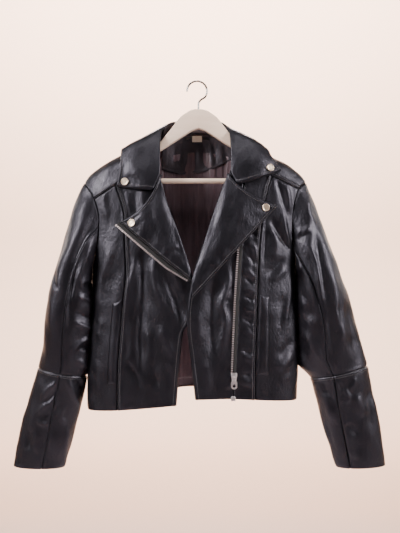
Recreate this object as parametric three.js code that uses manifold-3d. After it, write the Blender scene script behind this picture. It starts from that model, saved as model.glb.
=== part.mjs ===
// A faux-leather biker jacket hanging open on a wooden coat hanger.
//
// Millimetres, +Z up. The origin is the inner top of the hanger's hook, where it hangs on a peg.
// The front faces -Y. Pieces marked r are on the wearer's right (-X), pieces marked l on the left (+X).
// Each cloth piece is a closed wall: a grid of points on its outer face, and the same grid moved in.

import * as THREE from 'three';
import { mergeVertices } from 'three/addons/utils/BufferGeometryUtils.js';
import Module from 'manifold-3d';

const wasm = await Module();
wasm.setup();

const { clamp, lerp, smoothstep, degToRad } = THREE.MathUtils;

// ---- Driving dimensions -------------------------------------------------------------------------

const WALL = 2;                 // leather with its lining
const LEAF_WALL = 3;            // collar and lapels: leather on both sides
const TRIM_WALL = 1.2;          // welts, tapes, facing
const SEAM_GAP = 0.3;           // between pieces that meet at a seam
const LAY_GAP = 0.6;            // between a piece and the panel it lies on
const ROLL = 62;                // height over which the cloth rounds off the shoulder line
const SQUARENESS = 2.5;         // how square the body's flattened section is (2 is an ellipse)
const OVERLAP_LIFT = 7;         // the left front stands this far out where it laps over the right
const NECK_HALF = 80;           // half the neck's width at the shoulder line
const BACK_NECK_Z = -101;       // middle of the back neck seam

const HANGER = {
  x: 3, thickness: 12, bevel: 3, topZ: -56, vUnderZ: -96, barZ: -203, barDiameter: 11, barHalf: 184,
  wire: 4, hookRadius: 20.5, clothGap: 5.9,
};
const STUD = { diameter: 15, height: 2.4, rim: 0.9, dish: 0.5, gap: 0.7 };
const ZIP = { tape: 9, topZ: -262, footZ: -586, slider: [12, 5, 16], pull: [12, 1.6, 24], box: [9, 4, 9] };
const SLIDER_BELOW = 8;         // middle of the slider below the zip's foot
const METAL_GAP = 1.4;          // between the slider or the box and the leather behind it

// Side edges and depths of the body, seen from above at each height.
const BODY = [
  { z: -90, right: -238, left: 231, front: 20, back: 35 },
  { z: -150, right: -238, left: 231, front: 32, back: 36 },
  { z: -206, right: -236, left: 228, front: 42, back: 39 },
  { z: -290, right: -224, left: 213, front: 52, back: 42 },
  { z: -345, right: -217, left: 205, front: 57, back: 45 },
  { z: -385, right: -213, left: 201, front: 59, back: 46 },
  { z: -460, right: -213, left: 203, front: 61, back: 48 },
  { z: -540, right: -220, left: 208, front: 61, back: 48 },
  { z: -610, right: -223, left: 206, front: 59, back: 48 },
  { z: -680, right: -223, left: 202, front: 57, back: 47 },
];

// Height of the shoulder line, from one sleeve head across the neck to the other.
const SHOULDER = [
  { x: -245, z: -240 }, { x: -230, z: -206 }, { x: -213, z: -186 }, { x: -181, z: -165 },
  { x: -150, z: -147 }, { x: -80, z: -115 }, { x: 0, z: -76 }, { x: 80, z: -116 },
  { x: 149, z: -151 }, { x: 186, z: -171 }, { x: 213, z: -192 }, { x: 223, z: -206 }, { x: 240, z: -238 },
];

// The seams of each front, as x at each height. "opening" is the neck, break line and front edge.
const SEAMS = {
  r: {
    armhole: [
      { z: -206, x: -230 }, { z: -242, x: -207 }, { z: -288, x: -197 }, { z: -345, x: -203 },
      { z: -385, x: -213 },
    ],
    opening: [
      { z: -115, x: -80 }, { z: -180, x: -77 }, { z: -214, x: -72 }, { z: -300, x: -42 },
      { z: -388, x: -11 }, { z: -420, x: -4 }, { z: -483, x: -14 }, { z: -510, x: -27 },
      { z: -651, x: -40 },
    ],
    princess: [
      { z: -213, x: -163 }, { z: -281, x: -144 }, { z: -323, x: -143 }, { z: -389, x: -140 },
      { z: -460, x: -147 }, { z: -623, x: -157 }, { z: -663, x: -157 },
    ],
    yokeRow: 3, yokeNeckZ: -163, sideHemZ: -668,
  },
  l: {
    armhole: [
      { z: -206, x: 223 }, { z: -223, x: 205 }, { z: -281, x: 193 }, { z: -335, x: 194 },
      { z: -375, x: 201 },
    ],
    opening: [
      { z: -116, x: 80 }, { z: -180, x: 69 }, { z: -214, x: 53 }, { z: -300, x: 24 },
      { z: -402, x: -9 }, { z: -483, x: -20 }, { z: -560, x: -12 }, { z: -638, x: -3 },
    ],
    zip: [
      { z: -170, x: 96 }, { z: -278, x: 89 }, { z: -339, x: 86 }, { z: -444, x: 79 },
      { z: -583, x: 73 }, { z: -638, x: 71 },
    ],
    princess: [
      { z: -196, x: 150 }, { z: -245, x: 137 }, { z: -303, x: 127 }, { z: -369, x: 122 },
      { z: -448, x: 119 }, { z: -582, x: 115 }, { z: -641, x: 115 },
    ],
    yokeRow: 2, yokeNeckZ: -161, sideHemZ: -648,
  },
};

// The hem of the back, as a height at each x.
const BACK_HEM = [
  { x: -223, z: -668 }, { x: -120, z: -645 }, { x: 0, z: -632 }, { x: 110, z: -634 }, { x: 203, z: -648 },
];

// The largest folds. Each runs from (x1, z1) to (x2, z2), and stands out by "out" (in, if negative).
const FOLDS = {
  front_r: [
    { x1: -104, z1: -350, x2: -108, z2: -575, width: 12, out: -6 },
    { x1: -84, z1: -352, x2: -60, z2: -482, width: 12, out: 4 },
    { x1: -67, z1: -380, x2: -28, z2: -500, width: 9, out: -4 },
    { x1: -170, z1: -320, x2: -192, z2: -480, width: 12, out: 3 },
  ],
  front_l: [
    { x1: 60, z1: -363, x2: 47, z2: -575, width: 12, out: 4 },
    { x1: 34, z1: -386, x2: 32, z2: -563, width: 9, out: -5 },
    { x1: 148, z1: -280, x2: 188, z2: -350, width: 9, out: -5 },
    { x1: 171, z1: -267, x2: 190, z2: -349, width: 9, out: 4 },
    { x1: 160, z1: -390, x2: 172, z2: -620, width: 13, out: 3 },
  ],
  back: [
    { x1: -120, z1: -260, x2: -140, z2: -620, width: 24, out: 5 },
    { x1: -40, z1: -300, x2: -55, z2: -610, width: 22, out: -4 },
    { x1: 70, z1: -240, x2: 60, z2: -600, width: 24, out: 4 },
    { x1: 140, z1: -320, x2: 150, z2: -620, width: 22, out: -4 },
  ],
};

// Sleeve rings from the armhole (0) over the forearm seam (7) to the open end (10). "outer" is the edge
// away from the body, "inner" the edge beside it, front and back are depths, and seam is where the front
// seam crosses the ring, from 0 at the outer edge to 0.5 at the inner edge.
const CUFF_RING = 7;
const END_RING = 10;
const SLEEVES = {
  r: [
    { at: 0, outerX: -230, outerZ: -206, innerX: -213, innerZ: -385, front: 34, back: 32, seam: 0.25 },
    { at: 1, outerX: -247, outerZ: -239, innerX: -215.5, innerZ: -404, front: 45, back: 42, seam: 0.25 },
    { at: 2, outerX: -271, outerZ: -322, innerX: -215.5, innerZ: -428, front: 52, back: 48, seam: 0.25 },
    { at: 3, outerX: -293, outerZ: -398, innerX: -215.5, innerZ: -456, front: 53, back: 50, seam: 0.25 },
    { at: 4, outerX: -305, outerZ: -450, innerX: -217.5, innerZ: -488, front: 52, back: 50, seam: 0.25 },
    { at: 5, outerX: -313, outerZ: -505, innerX: -221, innerZ: -526, front: 48, back: 48, seam: 0.252 },
    { at: 6, outerX: -316, outerZ: -547, innerX: -224.5, innerZ: -566, front: 43, back: 44, seam: 0.255 },
    { at: 7, outerX: -325, outerZ: -584, innerX: -226, innerZ: -602, front: 37, back: 38, seam: 0.258 },
    { at: 8, outerX: -345, outerZ: -650, innerX: -238, innerZ: -664, front: 30, back: 31, seam: 0.262 },
    { at: 9, outerX: -362, outerZ: -712, innerX: -251, innerZ: -722, front: 26, back: 26, seam: 0.27 },
    { at: 10, outerX: -376, outerZ: -786, innerX: -271, innerZ: -788, front: 22, back: 22, seam: 0.28 },
  ],
  l: [
    { at: 0, outerX: 223, outerZ: -206, innerX: 201, innerZ: -375, front: 34, back: 32, seam: 0.35 },
    { at: 1, outerX: 245, outerZ: -260, innerX: 203.5, innerZ: -396, front: 46, back: 42, seam: 0.34 },
    { at: 2, outerX: 275, outerZ: -342, innerX: 204.5, innerZ: -424, front: 53, back: 48, seam: 0.32 },
    { at: 3, outerX: 296, outerZ: -402, innerX: 205, innerZ: -456, front: 54, back: 50, seam: 0.30 },
    { at: 4, outerX: 314, outerZ: -455, innerX: 207.5, innerZ: -492, front: 52, back: 50, seam: 0.29 },
    { at: 5, outerX: 327, outerZ: -500, innerX: 209.5, innerZ: -530, front: 48, back: 48, seam: 0.29 },
    { at: 6, outerX: 337, outerZ: -540, innerX: 211, innerZ: -570, front: 43, back: 44, seam: 0.295 },
    { at: 7, outerX: 348, outerZ: -580, innerX: 232, innerZ: -606, front: 37, back: 38, seam: 0.3 },
    { at: 8, outerX: 362, outerZ: -645, innerX: 247, innerZ: -664, front: 30, back: 31, seam: 0.31 },
    { at: 9, outerX: 376, outerZ: -712, innerX: 264, innerZ: -722, front: 26, back: 26, seam: 0.32 },
    { at: 10, outerX: 386, outerZ: -784, innerX: 285, innerZ: -788, front: 22, back: 22, seam: 0.333 },
  ],
};

// The collar leaf from the middle of the back round to each point. "roll" is a point of the roll line.
// "middle" and "edge" are x, z and lift above the cloth under them, half way across and on the outer edge.
const COLLAR = {
  r: [
    { face: 'back', roll: [0, 32, -75], middle: [0, -112, 13], edge: [0, -150, 5] },
    { face: 'back', roll: [-30, 29, -75], middle: [-42, -112, 12], edge: [-58, -152, 5] },
    { face: 'back', roll: [-52, 18, -78], middle: [-76, -119, 15], edge: [-112, -156, 6] },
    { face: 'back', roll: [-65, 4, -88], middle: [-98, -124, 17], edge: [-140, -149, 10] },
    { face: 'front', roll: [-73, -8, -101], middle: [-109, -131, 16], edge: [-150, -151, 11] },
    { face: 'front', roll: [-76, -29, -138], middle: [-115, -152, 13], edge: [-152, -175, 9] },
    { face: 'front', roll: [-75, -45, -188], middle: [-117, -196, 11], edge: [-155.5, -202, 7] },
    { face: 'front', roll: [-89, -51, -227], middle: [-123, -225.5, 8], edge: [-159.5, -219, 6] },
  ],
  l: [
    { face: 'back', roll: [0, 32, -75], middle: [0, -112, 13], edge: [0, -150, 5] },
    { face: 'back', roll: [30, 29, -75], middle: [42, -112, 12], edge: [58, -152, 5] },
    { face: 'back', roll: [50, 18, -78], middle: [74, -119, 15], edge: [110, -156, 6] },
    { face: 'back', roll: [61, 4, -88], middle: [95, -124, 17], edge: [132, -144, 10] },
    { face: 'front', roll: [68, -8, -101], middle: [105, -131, 16], edge: [141, -151, 11] },
    { face: 'front', roll: [70, -29, -136], middle: [110, -147, 13], edge: [148, -161, 9] },
    { face: 'front', roll: [69, -43, -184], middle: [114, -178, 11], edge: [157, -173, 9] },
    { face: 'front', roll: [82, -50, -214], middle: [124, -204, 8], edge: [168, -187.5, 8] },
  ],
};

// The lapels, row by row down the break line: x and z on the break line, half way across and on the outer
// edge. Each row lies on the front, lifted out by the heights under "lift".
const LAPELS = {
  r: [
    { breakX: -74, breakZ: -197, middleX: -103, middleZ: -256, edgeX: -152.5, edgeZ: -290.5, lift: [4, 9, 6] },
    { breakX: -60, breakZ: -250, middleX: -88, middleZ: -281, edgeX: -122, edgeZ: -317, lift: [4, 12, 6] },
    { breakX: -42, breakZ: -300, middleX: -66, middleZ: -322, edgeX: -88, edgeZ: -346, lift: [4, 11, 6] },
    { breakX: -26, breakZ: -345, middleX: -39, middleZ: -360, edgeX: -52, edgeZ: -376, lift: [4, 9, 6] },
    { breakX: -11, breakZ: -388, middleX: -12, middleZ: -397, edgeX: -13, edgeZ: -406, lift: [3.8, 6, 5] },
  ],
  l: [
    { breakX: 63, breakZ: -194, middleX: 101, middleZ: -232, edgeX: 160, edgeZ: -258, lift: [4, 9, 6] },
    { breakX: 43, breakZ: -246, middleX: 82, middleZ: -277, edgeX: 123, edgeZ: -299, lift: [4, 13, 6] },
    { breakX: 25, breakZ: -300, middleX: 56, middleZ: -322, edgeX: 84, edgeZ: -341, lift: [4, 12, 6] },
    { breakX: 9, breakZ: -350, middleX: 26, middleZ: -367, edgeX: 42, edgeZ: -386, lift: [4, 10, 6] },
    { breakX: -9, breakZ: -402, middleX: -9, middleZ: -422, edgeX: -8, edgeZ: -440, lift: [3.8, 6, 5] },
  ],
};

// Grid densities.
const ARMHOLE_ROWS = 10;        // rows from the shoulder point to the armpit
const LOWER_ROWS = 11;          // rows from the armpit to the hem
const RINGS_PER_STEP = 1;       // sleeve rings between two rows of its table

// ---- Looks --------------------------------------------------------------------------------------

function look(color, roughness, metalness = 0) {
  return { color, roughness, metalness };
}
const LEATHER = look(0x17151a, 0.42);
const LINING = look(0x2e2226, 0.6);
const LABEL = look(0xd9cfbd, 0.8);
const TAPE = look(0x141316, 0.8);
const METAL = look(0xc9bfae, 0.28, 1);
const WOOD = look(0xe6dcd0, 0.5);

const jacket = new THREE.Group();

function add(name, geometry, finish) {
  const mesh = new THREE.Mesh(geometry, new THREE.MeshStandardMaterial(finish));
  mesh.name = name;
  jacket.add(mesh);
  return mesh;
}

// ---- Reading the tables -------------------------------------------------------------------------

// A smooth curve through one column of a table, read at a place along another column. It never swings
// past the rows on either side.
function read(table, key, place, column) {
  const rows = table[0][key] < table.at(-1)[key] ? table : table.toReversed();
  const at = clamp(place, rows[0][key], rows.at(-1)[key]);
  const next = clamp(rows.findIndex((row) => row[key] >= at), 1, rows.length - 1);
  const steps = rows.slice(1).map((row, i) => (row[column] - rows[i][column]) / (row[key] - rows[i][key]));
  const slope = (i) => {
    if (i === 0) return steps[0];
    if (i === rows.length - 1) return steps.at(-1);
    const [before, after] = [steps[i - 1], steps[i]];
    return before * after <= 0 ? 0 : (2 * before * after) / (before + after);
  };
  const [low, high] = [rows[next - 1], rows[next]];
  const span = high[key] - low[key];
  const t = (at - low[key]) / span;
  const [t2, t3] = [t * t, t * t * t];
  return (2 * t3 - 3 * t2 + 1) * low[column] + (t3 - 2 * t2 + t) * span * slope(next - 1)
    + (3 * t2 - 2 * t3) * high[column] + (t3 - t2) * span * slope(next);
}

const seamX = (table, z) => read(table, 'z', z, 'x');
const shoulderZ = (x) => read(SHOULDER, 'x', x, 'z');
const topOf = (table) => table[0].z;
const bottomOf = (table) => table.at(-1).z;

// ---- The garment's surface ----------------------------------------------------------------------

// How far across (0 at the side edge, 1 in the middle) and how far down from the shoulder line.
function sideFade(x, z) {
  const [right, left] = [read(BODY, 'z', z, 'right'), read(BODY, 'z', z, 'left')];
  const middle = (right + left) / 2;
  const reach = Math.min(Math.abs(x - middle) / ((left - right) / 2), 1);
  return (1 - reach ** SQUARENESS) ** (1 / SQUARENESS);
}

function topFade(x, z) {
  const down = clamp((shoulderZ(x) - z) / ROLL, 0, 1);
  return Math.sqrt(1 - (1 - down) ** 2);
}

function foldHeight(face, x, z) {
  let height = 0;
  for (const { x1, z1, x2, z2, width, out } of FOLDS[face]) {
    const run = clamp((z - z1) / (z2 - z1), 0, 1);
    const across = (x - lerp(x1, x2, run)) / width;
    const past = (z - lerp(z1, z2, run)) / 45;
    height += out * Math.exp(-across * across - past * past);
  }
  return height;
}

// Distance in front of, or behind, the plane of the hanger.
function depth(face, x, z) {
  const fade = sideFade(x, z) * topFade(x, z);
  const full = read(BODY, 'z', z, face === 'back' ? 'back' : 'front');
  const lap = face === 'front_l' ? OVERLAP_LIFT * (1 - smoothstep(x, -10, 60)) * smoothstep(-z, 330, 400) : 0;
  return (full + foldHeight(face, x, z) + lap) * fade;
}

// The way out of the cloth, worked out from points 2 mm nearer the middle and lower down.
function outward(face, x, z) {
  const ySign = face === 'back' ? 1 : -1;
  const step = 2;
  const inX = x > 0 ? -step : step;
  const here = depth(face, x, z);
  if (sideFade(x, z) < 0.03) return new THREE.Vector3(Math.sign(x), 0, 0);
  if (topFade(x, z) < 0.03) return new THREE.Vector3(0, 0, 1);
  const slopeX = (depth(face, x + inX, z) - here) / inX;
  const slopeZ = (depth(face, x, z - step) - here) / -step;
  return new THREE.Vector3(-slopeX, ySign, -slopeZ).normalize();
}

// A point of the cloth with its way out, moved out by "lift".
function cloth(face, x, z, lift = 0) {
  const out = outward(face, x, z);
  const ySign = face === 'back' ? 1 : -1;
  const point = new THREE.Vector3(x, ySign * depth(face, x, z), z).addScaledVector(out, lift);
  return { point, out };
}

// ---- Walls --------------------------------------------------------------------------------------

// Moves the rim of a grid in by half the seam gap.
function trimmed(grid, gap) {
  const copy = grid.map((row) => row.map(({ point, out }) => ({ point: point.clone(), out })));
  const pull = (cell, inner) => {
    const way = inner.point.clone().sub(cell.point).normalize();
    cell.point.addScaledVector(way, gap / 2);
  };
  const [lastRow, lastColumn] = [grid.length - 1, grid[0].length - 1];
  copy[0].forEach((cell, j) => pull(cell, grid[1][j]));
  copy[lastRow].forEach((cell, j) => pull(cell, grid[lastRow - 1][j]));
  copy.forEach((row, i) => pull(row[0], grid[i][1]));
  copy.forEach((row, i) => pull(row[lastColumn], grid[i][lastColumn - 1]));
  return copy;
}

// A closed wall whose outer face is the grid, as thick as "wall".
function wallGeometry(grid, wall, gap = SEAM_GAP) {
  const cells = trimmed(grid, gap);
  const [rows, columns] = [cells.length, cells[0].length];
  const positions = [];
  for (const side of [0, 1]) {
    for (const row of cells) {
      for (const { point, out } of row) {
        positions.push(...point.clone().addScaledVector(out, -wall * side).toArray());
      }
    }
  }
  const id = (i, j, side) => side * rows * columns + i * columns + j;
  const indices = [];
  const quad = (a, b, c, d) => indices.push(a, b, c, a, c, d);
  for (let i = 0; i < rows - 1; i += 1) {
    for (let j = 0; j < columns - 1; j += 1) {
      quad(id(i, j, 0), id(i + 1, j, 0), id(i + 1, j + 1, 0), id(i, j + 1, 0));
      quad(id(i, j, 1), id(i, j + 1, 1), id(i + 1, j + 1, 1), id(i + 1, j, 1));
    }
  }
  for (let j = 0; j < columns - 1; j += 1) {
    quad(id(0, j, 0), id(0, j + 1, 0), id(0, j + 1, 1), id(0, j, 1));
    quad(id(rows - 1, j, 0), id(rows - 1, j, 1), id(rows - 1, j + 1, 1), id(rows - 1, j + 1, 0));
  }
  for (let i = 0; i < rows - 1; i += 1) {
    quad(id(i, 0, 0), id(i, 0, 1), id(i + 1, 0, 1), id(i + 1, 0, 0));
    quad(id(i, columns - 1, 0), id(i + 1, columns - 1, 0), id(i + 1, columns - 1, 1), id(i, columns - 1, 1));
  }
  const [midRow, midColumn] = [Math.floor((rows - 1) / 2), Math.floor((columns - 1) / 2)];
  const { point: origin, out } = cells[midRow][midColumn];
  const down = cells[midRow + 1][midColumn].point.clone().sub(origin);
  const across = cells[midRow][midColumn + 1].point.clone().sub(origin);
  const facing = down.cross(across).dot(out);
  if (facing < 0) indices.reverse();
  const geometry = new THREE.BufferGeometry();
  geometry.setAttribute('position', new THREE.Float32BufferAttribute(positions, 3));
  geometry.setIndex(indices);
  geometry.computeVertexNormals();
  return geometry;
}

// Fills in the way out of each point of a grid of bare points, away from a point inside the garment.
function withOutward(points, inside) {
  const pick = (i, j) => points[clamp(i, 0, points.length - 1)][clamp(j, 0, points[0].length - 1)];
  return points.map((row, i) => row.map((point, j) => {
    const down = pick(i + 1, j).clone().sub(pick(i - 1, j));
    const out = down.cross(pick(i, j + 1).clone().sub(pick(i, j - 1))).normalize();
    return { point, out };
  })).map((row, i, all) => {
    const middle = all[Math.floor(all.length / 2)][Math.floor(row.length / 2)];
    const flip = middle.out.dot(middle.point.clone().sub(inside)) < 0 ? -1 : 1;
    return row.map(({ point, out }) => ({ point, out: out.clone().multiplyScalar(flip) }));
  });
}

const span = (count) => Array.from({ length: count + 1 }, (_, i) => i);
const lifted = (grid, lift) => grid.map((row) => row.map(({ point, out }) => (
  { point: point.clone().addScaledVector(out, lift), out })));

// A curve through three values, for t from 0 to 1.
const throughThree = (a, b, c, t) => a * (1 - t) * (1 - 2 * t) + b * 4 * t * (1 - t) + c * t * (2 * t - 1);

// ---- Body panels --------------------------------------------------------------------------------

// Fraction of the armhole's height at each of its rows, closest together at its ends.
const armholePart = (row) => (1 - Math.cos((Math.PI * row) / ARMHOLE_ROWS)) / 2;

// Height of the side edge of the body at a row, counted from the shoulder point down to the hem.
function edgeZ(side, row) {
  const { armhole, sideHemZ } = SEAMS[side];
  const armpit = bottomOf(armhole);
  if (row <= ARMHOLE_ROWS) return lerp(topOf(armhole), armpit, armholePart(row));
  return lerp(armpit, sideHemZ, (row - ARMHOLE_ROWS) / LOWER_ROWS);
}

function edgeX(side, row) {
  const z = edgeZ(side, row);
  if (row <= ARMHOLE_ROWS) return seamX(SEAMS[side].armhole, z);
  return read(BODY, 'z', z, side === 'r' ? 'right' : 'left');
}

const LAST_ROW = ARMHOLE_ROWS + LOWER_ROWS;

// Height of the yoke seam, a straight line from the neck to the armhole.
function yokeZ(side, x) {
  const { yokeRow, yokeNeckZ, opening } = SEAMS[side];
  const neckX = seamX(opening, yokeNeckZ);
  return lerp(yokeNeckZ, edgeZ(side, yokeRow), (x - neckX) / (edgeX(side, yokeRow) - neckX));
}

// The height at which a seam meets the yoke seam.
function yokeMeets(side, seam) {
  let z = SEAMS[side].yokeNeckZ;
  for (let i = 0; i < 12; i += 1) z = yokeZ(side, seamX(seam, z));
  return z;
}

// A seam's points at the rows of the front panels, from the yoke seam to the hem.
function seamPoint(side, seam, row) {
  const { yokeRow } = SEAMS[side];
  const [top, hem] = [edgeZ(side, yokeRow), edgeZ(side, LAST_ROW)];
  const part = (edgeZ(side, row) - top) / (hem - top);
  const z = lerp(yokeMeets(side, seam), bottomOf(seam), part);
  return [seamX(seam, z), z];
}

// A front panel between two seams, from the yoke seam to the hem.
function frontPanel(side, from, to, columns, bunched = false) {
  const { yokeRow } = SEAMS[side];
  return span(LAST_ROW - yokeRow).map((step) => {
    const row = yokeRow + step;
    const [a, b] = [from(row), to(row)];
    return span(columns).map((j) => {
      const part = bunched ? Math.sin((Math.PI / 2) * (j / columns)) : j / columns;
      return cloth(`front_${side}`, lerp(a[0], b[0], part), lerp(a[1], b[1], part));
    });
  });
}

const SIDE_COLUMNS = 7;
const CENTRE_COLUMNS = { r: 9, l: 7 };
const STRIP_COLUMNS = 3;
const WELT = { columns: 3, firstRow: ARMHOLE_ROWS + 3, lastRow: ARMHOLE_ROWS + 9 };
const panels = {};

for (const side of ['r', 'l']) {
  const { opening, princess, zip, yokeRow, yokeNeckZ } = SEAMS[side];
  const openingAt = (row) => seamPoint(side, opening, row);
  const princessAt = (row) => seamPoint(side, princess, row);
  const edgeAt = (row) => [edgeX(side, row), edgeZ(side, row)];
  const zipAt = (row) => seamPoint(side, zip, row);

  panels[`front_centre_${side}`] = frontPanel(side, openingAt, zip ? zipAt : princessAt, CENTRE_COLUMNS[side]);
  if (zip) panels[`front_strip_${side}`] = frontPanel(side, zipAt, princessAt, STRIP_COLUMNS);
  panels[`front_side_${side}`] = frontPanel(side, princessAt, edgeAt, SIDE_COLUMNS, true);

  // The yoke runs from the shoulder line down to the yoke seam.
  panels[`front_yoke_${side}`] = span(yokeRow + 1).map((step) => {
    const part = step / (yokeRow + 1);
    const ease = part * part;
    const neckX = seamX(opening, lerp(topOf(opening), yokeNeckZ, ease));
    const row = yokeRow * part;
    return span(8).map((j) => {
      const x = lerp(neckX, edgeX(side, row), j / 8);
      return cloth(`front_${side}`, x, lerp(shoulderZ(x), yokeZ(side, x), ease));
    });
  });

  // The welt of the upright pocket lies on the side panel, along the princess seam.
  const welt = panels[`front_side_${side}`]
    .slice(WELT.firstRow - yokeRow, WELT.lastRow - yokeRow + 1)
    .map((row) => row.slice(0, WELT.columns + 1));
  add(`pocket_welt_${side}`, wallGeometry(lifted(welt, LAY_GAP + TRIM_WALL), TRIM_WALL), LEATHER);
}

for (const [name, grid] of Object.entries(panels)) add(name, wallGeometry(grid, WALL), LEATHER);

// The back: one piece from side seam to side seam, with the neck cut out of its top.
const BACK_COLUMNS = { shoulder: 7, neck: 8 };
const BACK_LAST_COLUMN = 2 * BACK_COLUMNS.shoulder + BACK_COLUMNS.neck;
const neckSeamZ = (x) => lerp(BACK_NECK_Z, shoulderZ(NECK_HALF), (x / NECK_HALF) ** 2);

function backX(row, column) {
  const { shoulder, neck } = BACK_COLUMNS;
  const fromEdge = Math.min(column, BACK_LAST_COLUMN - column);
  if (fromEdge >= shoulder) return lerp(-NECK_HALF, NECK_HALF, (column - shoulder) / neck);
  const side = column < shoulder ? 'r' : 'l';
  const part = Math.sin((Math.PI / 2) * (1 - fromEdge / shoulder));
  return lerp(side === 'r' ? -NECK_HALF : NECK_HALF, edgeX(side, row), part);
}

function backPoint(row, column) {
  const x = backX(row, column);
  const topX = backX(0, column);
  const topZ = Math.abs(topX) <= NECK_HALF ? neckSeamZ(topX) : shoulderZ(topX);
  const across = column / BACK_LAST_COLUMN;
  const armpitZ = lerp(edgeZ('r', ARMHOLE_ROWS), edgeZ('l', ARMHOLE_ROWS), across);
  if (row <= ARMHOLE_ROWS) return cloth('back', x, lerp(topZ, armpitZ, armholePart(row)));
  return cloth('back', x, lerp(armpitZ, read(BACK_HEM, 'x', x, 'z'), (row - ARMHOLE_ROWS) / LOWER_ROWS));
}

const back = span(LAST_ROW).map((row) => span(BACK_LAST_COLUMN).map((column) => backPoint(row, column)));
add('back_panel', wallGeometry(back, WALL), LEATHER);

// Inside the back, a leather facing lies round the neck, and the lining hangs below it. Both are rows
// and columns of the back's own grid, moved in.
const FACING = { firstRow: 0, lastRow: 4, margin: 8 };
const LINING_SHAPE = { firstRow: 4, lastRow: LAST_ROW - 1, margin: 4, wall: 1 };
const insideLift = -(WALL + LAY_GAP);

function insideBack({ firstRow, lastRow, margin }) {
  const rows = back.slice(firstRow, lastRow + 1);
  return lifted(rows.map((row) => row.slice(margin, BACK_LAST_COLUMN - margin + 1)), insideLift);
}
add('back_neck_facing', wallGeometry(insideBack(FACING), TRIM_WALL), LEATHER);
add('back_lining', wallGeometry(insideBack(LINING_SHAPE), LINING_SHAPE.wall), LINING);

// ---- Sleeves ------------------------------------------------------------------------------------

const armholeFace = (side, turn) => (turn <= 0.5 ? `front_${side}` : 'back');

// The point of the armhole at a turn round it: 0 at the shoulder point, 0.5 at the armpit.
function armholePoint(side, turn) {
  const { armhole } = SEAMS[side];
  const part = (1 - Math.cos(2 * Math.PI * turn)) / 2;
  const z = lerp(topOf(armhole), bottomOf(armhole), part);
  return cloth(armholeFace(side, turn), seamX(armhole, z), z);
}

function ringEllipse(side, at, turn) {
  const column = (name) => read(SLEEVES[side], 'at', at, name);
  const [cos, sin] = [Math.cos(2 * Math.PI * turn), Math.sin(2 * Math.PI * turn)];
  const outer = new THREE.Vector3(column('outerX'), 0, column('outerZ'));
  const inner = new THREE.Vector3(column('innerX'), 0, column('innerZ'));
  const middle = outer.clone().add(inner).multiplyScalar(0.5);
  const half = outer.clone().sub(middle);
  const deep = sin > 0 ? column('front') : column('back');
  const point = middle.clone().addScaledVector(half, cos);
  point.y = -deep * sin;
  const out = half.clone().multiplyScalar(cos / half.lengthSq());
  out.y = -sin / deep;
  return { point, out: out.normalize() };
}

// A point of the sleeve. Near the armhole it takes up the armhole's own shape.
function sleevePoint(side, at, turn) {
  const ring = ringEllipse(side, at, turn);
  const start = ringEllipse(side, 0, turn);
  const seam = armholePoint(side, turn);
  const hold = 1 - smoothstep(at, 0, 2.5);
  ring.point.addScaledVector(seam.point.clone().sub(start.point), hold);
  const low = (1 - Math.cos(2 * Math.PI * turn)) / 2;
  const like = (1 - smoothstep(at, 0, 1.2)) * (1 - smoothstep(low, 0.3, 0.8));
  ring.out.lerp(seam.out, like).normalize();
  return ring;
}

// The turn at each column of a sleeve part. The first column is the front seam and the last the back
// seam; at the armhole every column lies on one of the armhole's rows.
const SEAM_COLUMN = { r: 5, l: 7 };

function turnAt(side, at, column) {
  const all = 2 * ARMHOLE_ROWS;
  const fixed = SEAM_COLUMN[side];
  const held = fixed / all;
  const moved = read(SLEEVES[side], 'at', at, 'seam');
  const folded = column > ARMHOLE_ROWS ? all - column : column;
  const turn = folded / all;
  const shifted = turn <= held ? turn * (moved / held) : 0.5 - (0.5 - turn) * ((0.5 - moved) / (0.5 - held));
  const own = lerp(turn, shifted, smoothstep(at, 0, 1));
  return column > ARMHOLE_ROWS ? 1 - own : own;
}

function sleeveGrid(side, fromRing, toRing, columns) {
  const steps = (toRing - fromRing) * RINGS_PER_STEP;
  return span(steps).map((i) => {
    const at = fromRing + i / RINGS_PER_STEP;
    return columns.map((column) => sleevePoint(side, at, turnAt(side, at, column)));
  });
}

for (const side of ['r', 'l']) {
  const all = 2 * ARMHOLE_ROWS;
  const fixed = SEAM_COLUMN[side];
  const under = span(all - 2 * fixed).map((i) => fixed + i);
  const over = span(2 * fixed).map((i) => (all - fixed + i) % all);
  for (const [part, columns] of [['outer', over], ['inner', under]]) {
    add(`sleeve_${part}_${side}`, wallGeometry(sleeveGrid(side, 0, CUFF_RING, columns), WALL), LEATHER);
    add(`cuff_${part}_${side}`, wallGeometry(sleeveGrid(side, CUFF_RING, END_RING, columns), WALL), LEATHER);
  }
}

// ---- Collar -------------------------------------------------------------------------------------

const INSIDE_NECK = new THREE.Vector3(0, 0, -190);

const COLLAR_STEPS = { round: 14, across: 5 };

function collarHalf(side) {
  const rows = COLLAR[side].map(({ face, roll, middle, edge }, at) => {
    const on = ([x, z, lift]) => cloth(face === 'back' ? 'back' : `front_${side}`, x, z, lift).point.toArray();
    return { at, roll, middle: on(middle), edge: on(edge) };
  });
  const curve = (name, at) => [0, 1, 2].map((axis) => (
    read(rows.map((row) => ({ at: row.at, value: row[name][axis] })), 'at', at, 'value')));
  return span(COLLAR_STEPS.round).map((i) => {
    const at = (i / COLLAR_STEPS.round) * (rows.length - 1);
    const [roll, middle, edge] = [curve('roll', at), curve('middle', at), curve('edge', at)];
    return span(COLLAR_STEPS.across).map((j) => new THREE.Vector3(
      ...[0, 1, 2].map((axis) => throughThree(roll[axis], middle[axis], edge[axis], j / COLLAR_STEPS.across))));
  });
}

const collarRows = [...collarHalf('r').reverse(), ...collarHalf('l').slice(1)];
const leaf = withOutward(collarRows, INSIDE_NECK);
add('collar_leaf', wallGeometry(leaf, LEAF_WALL), LEATHER);

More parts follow.
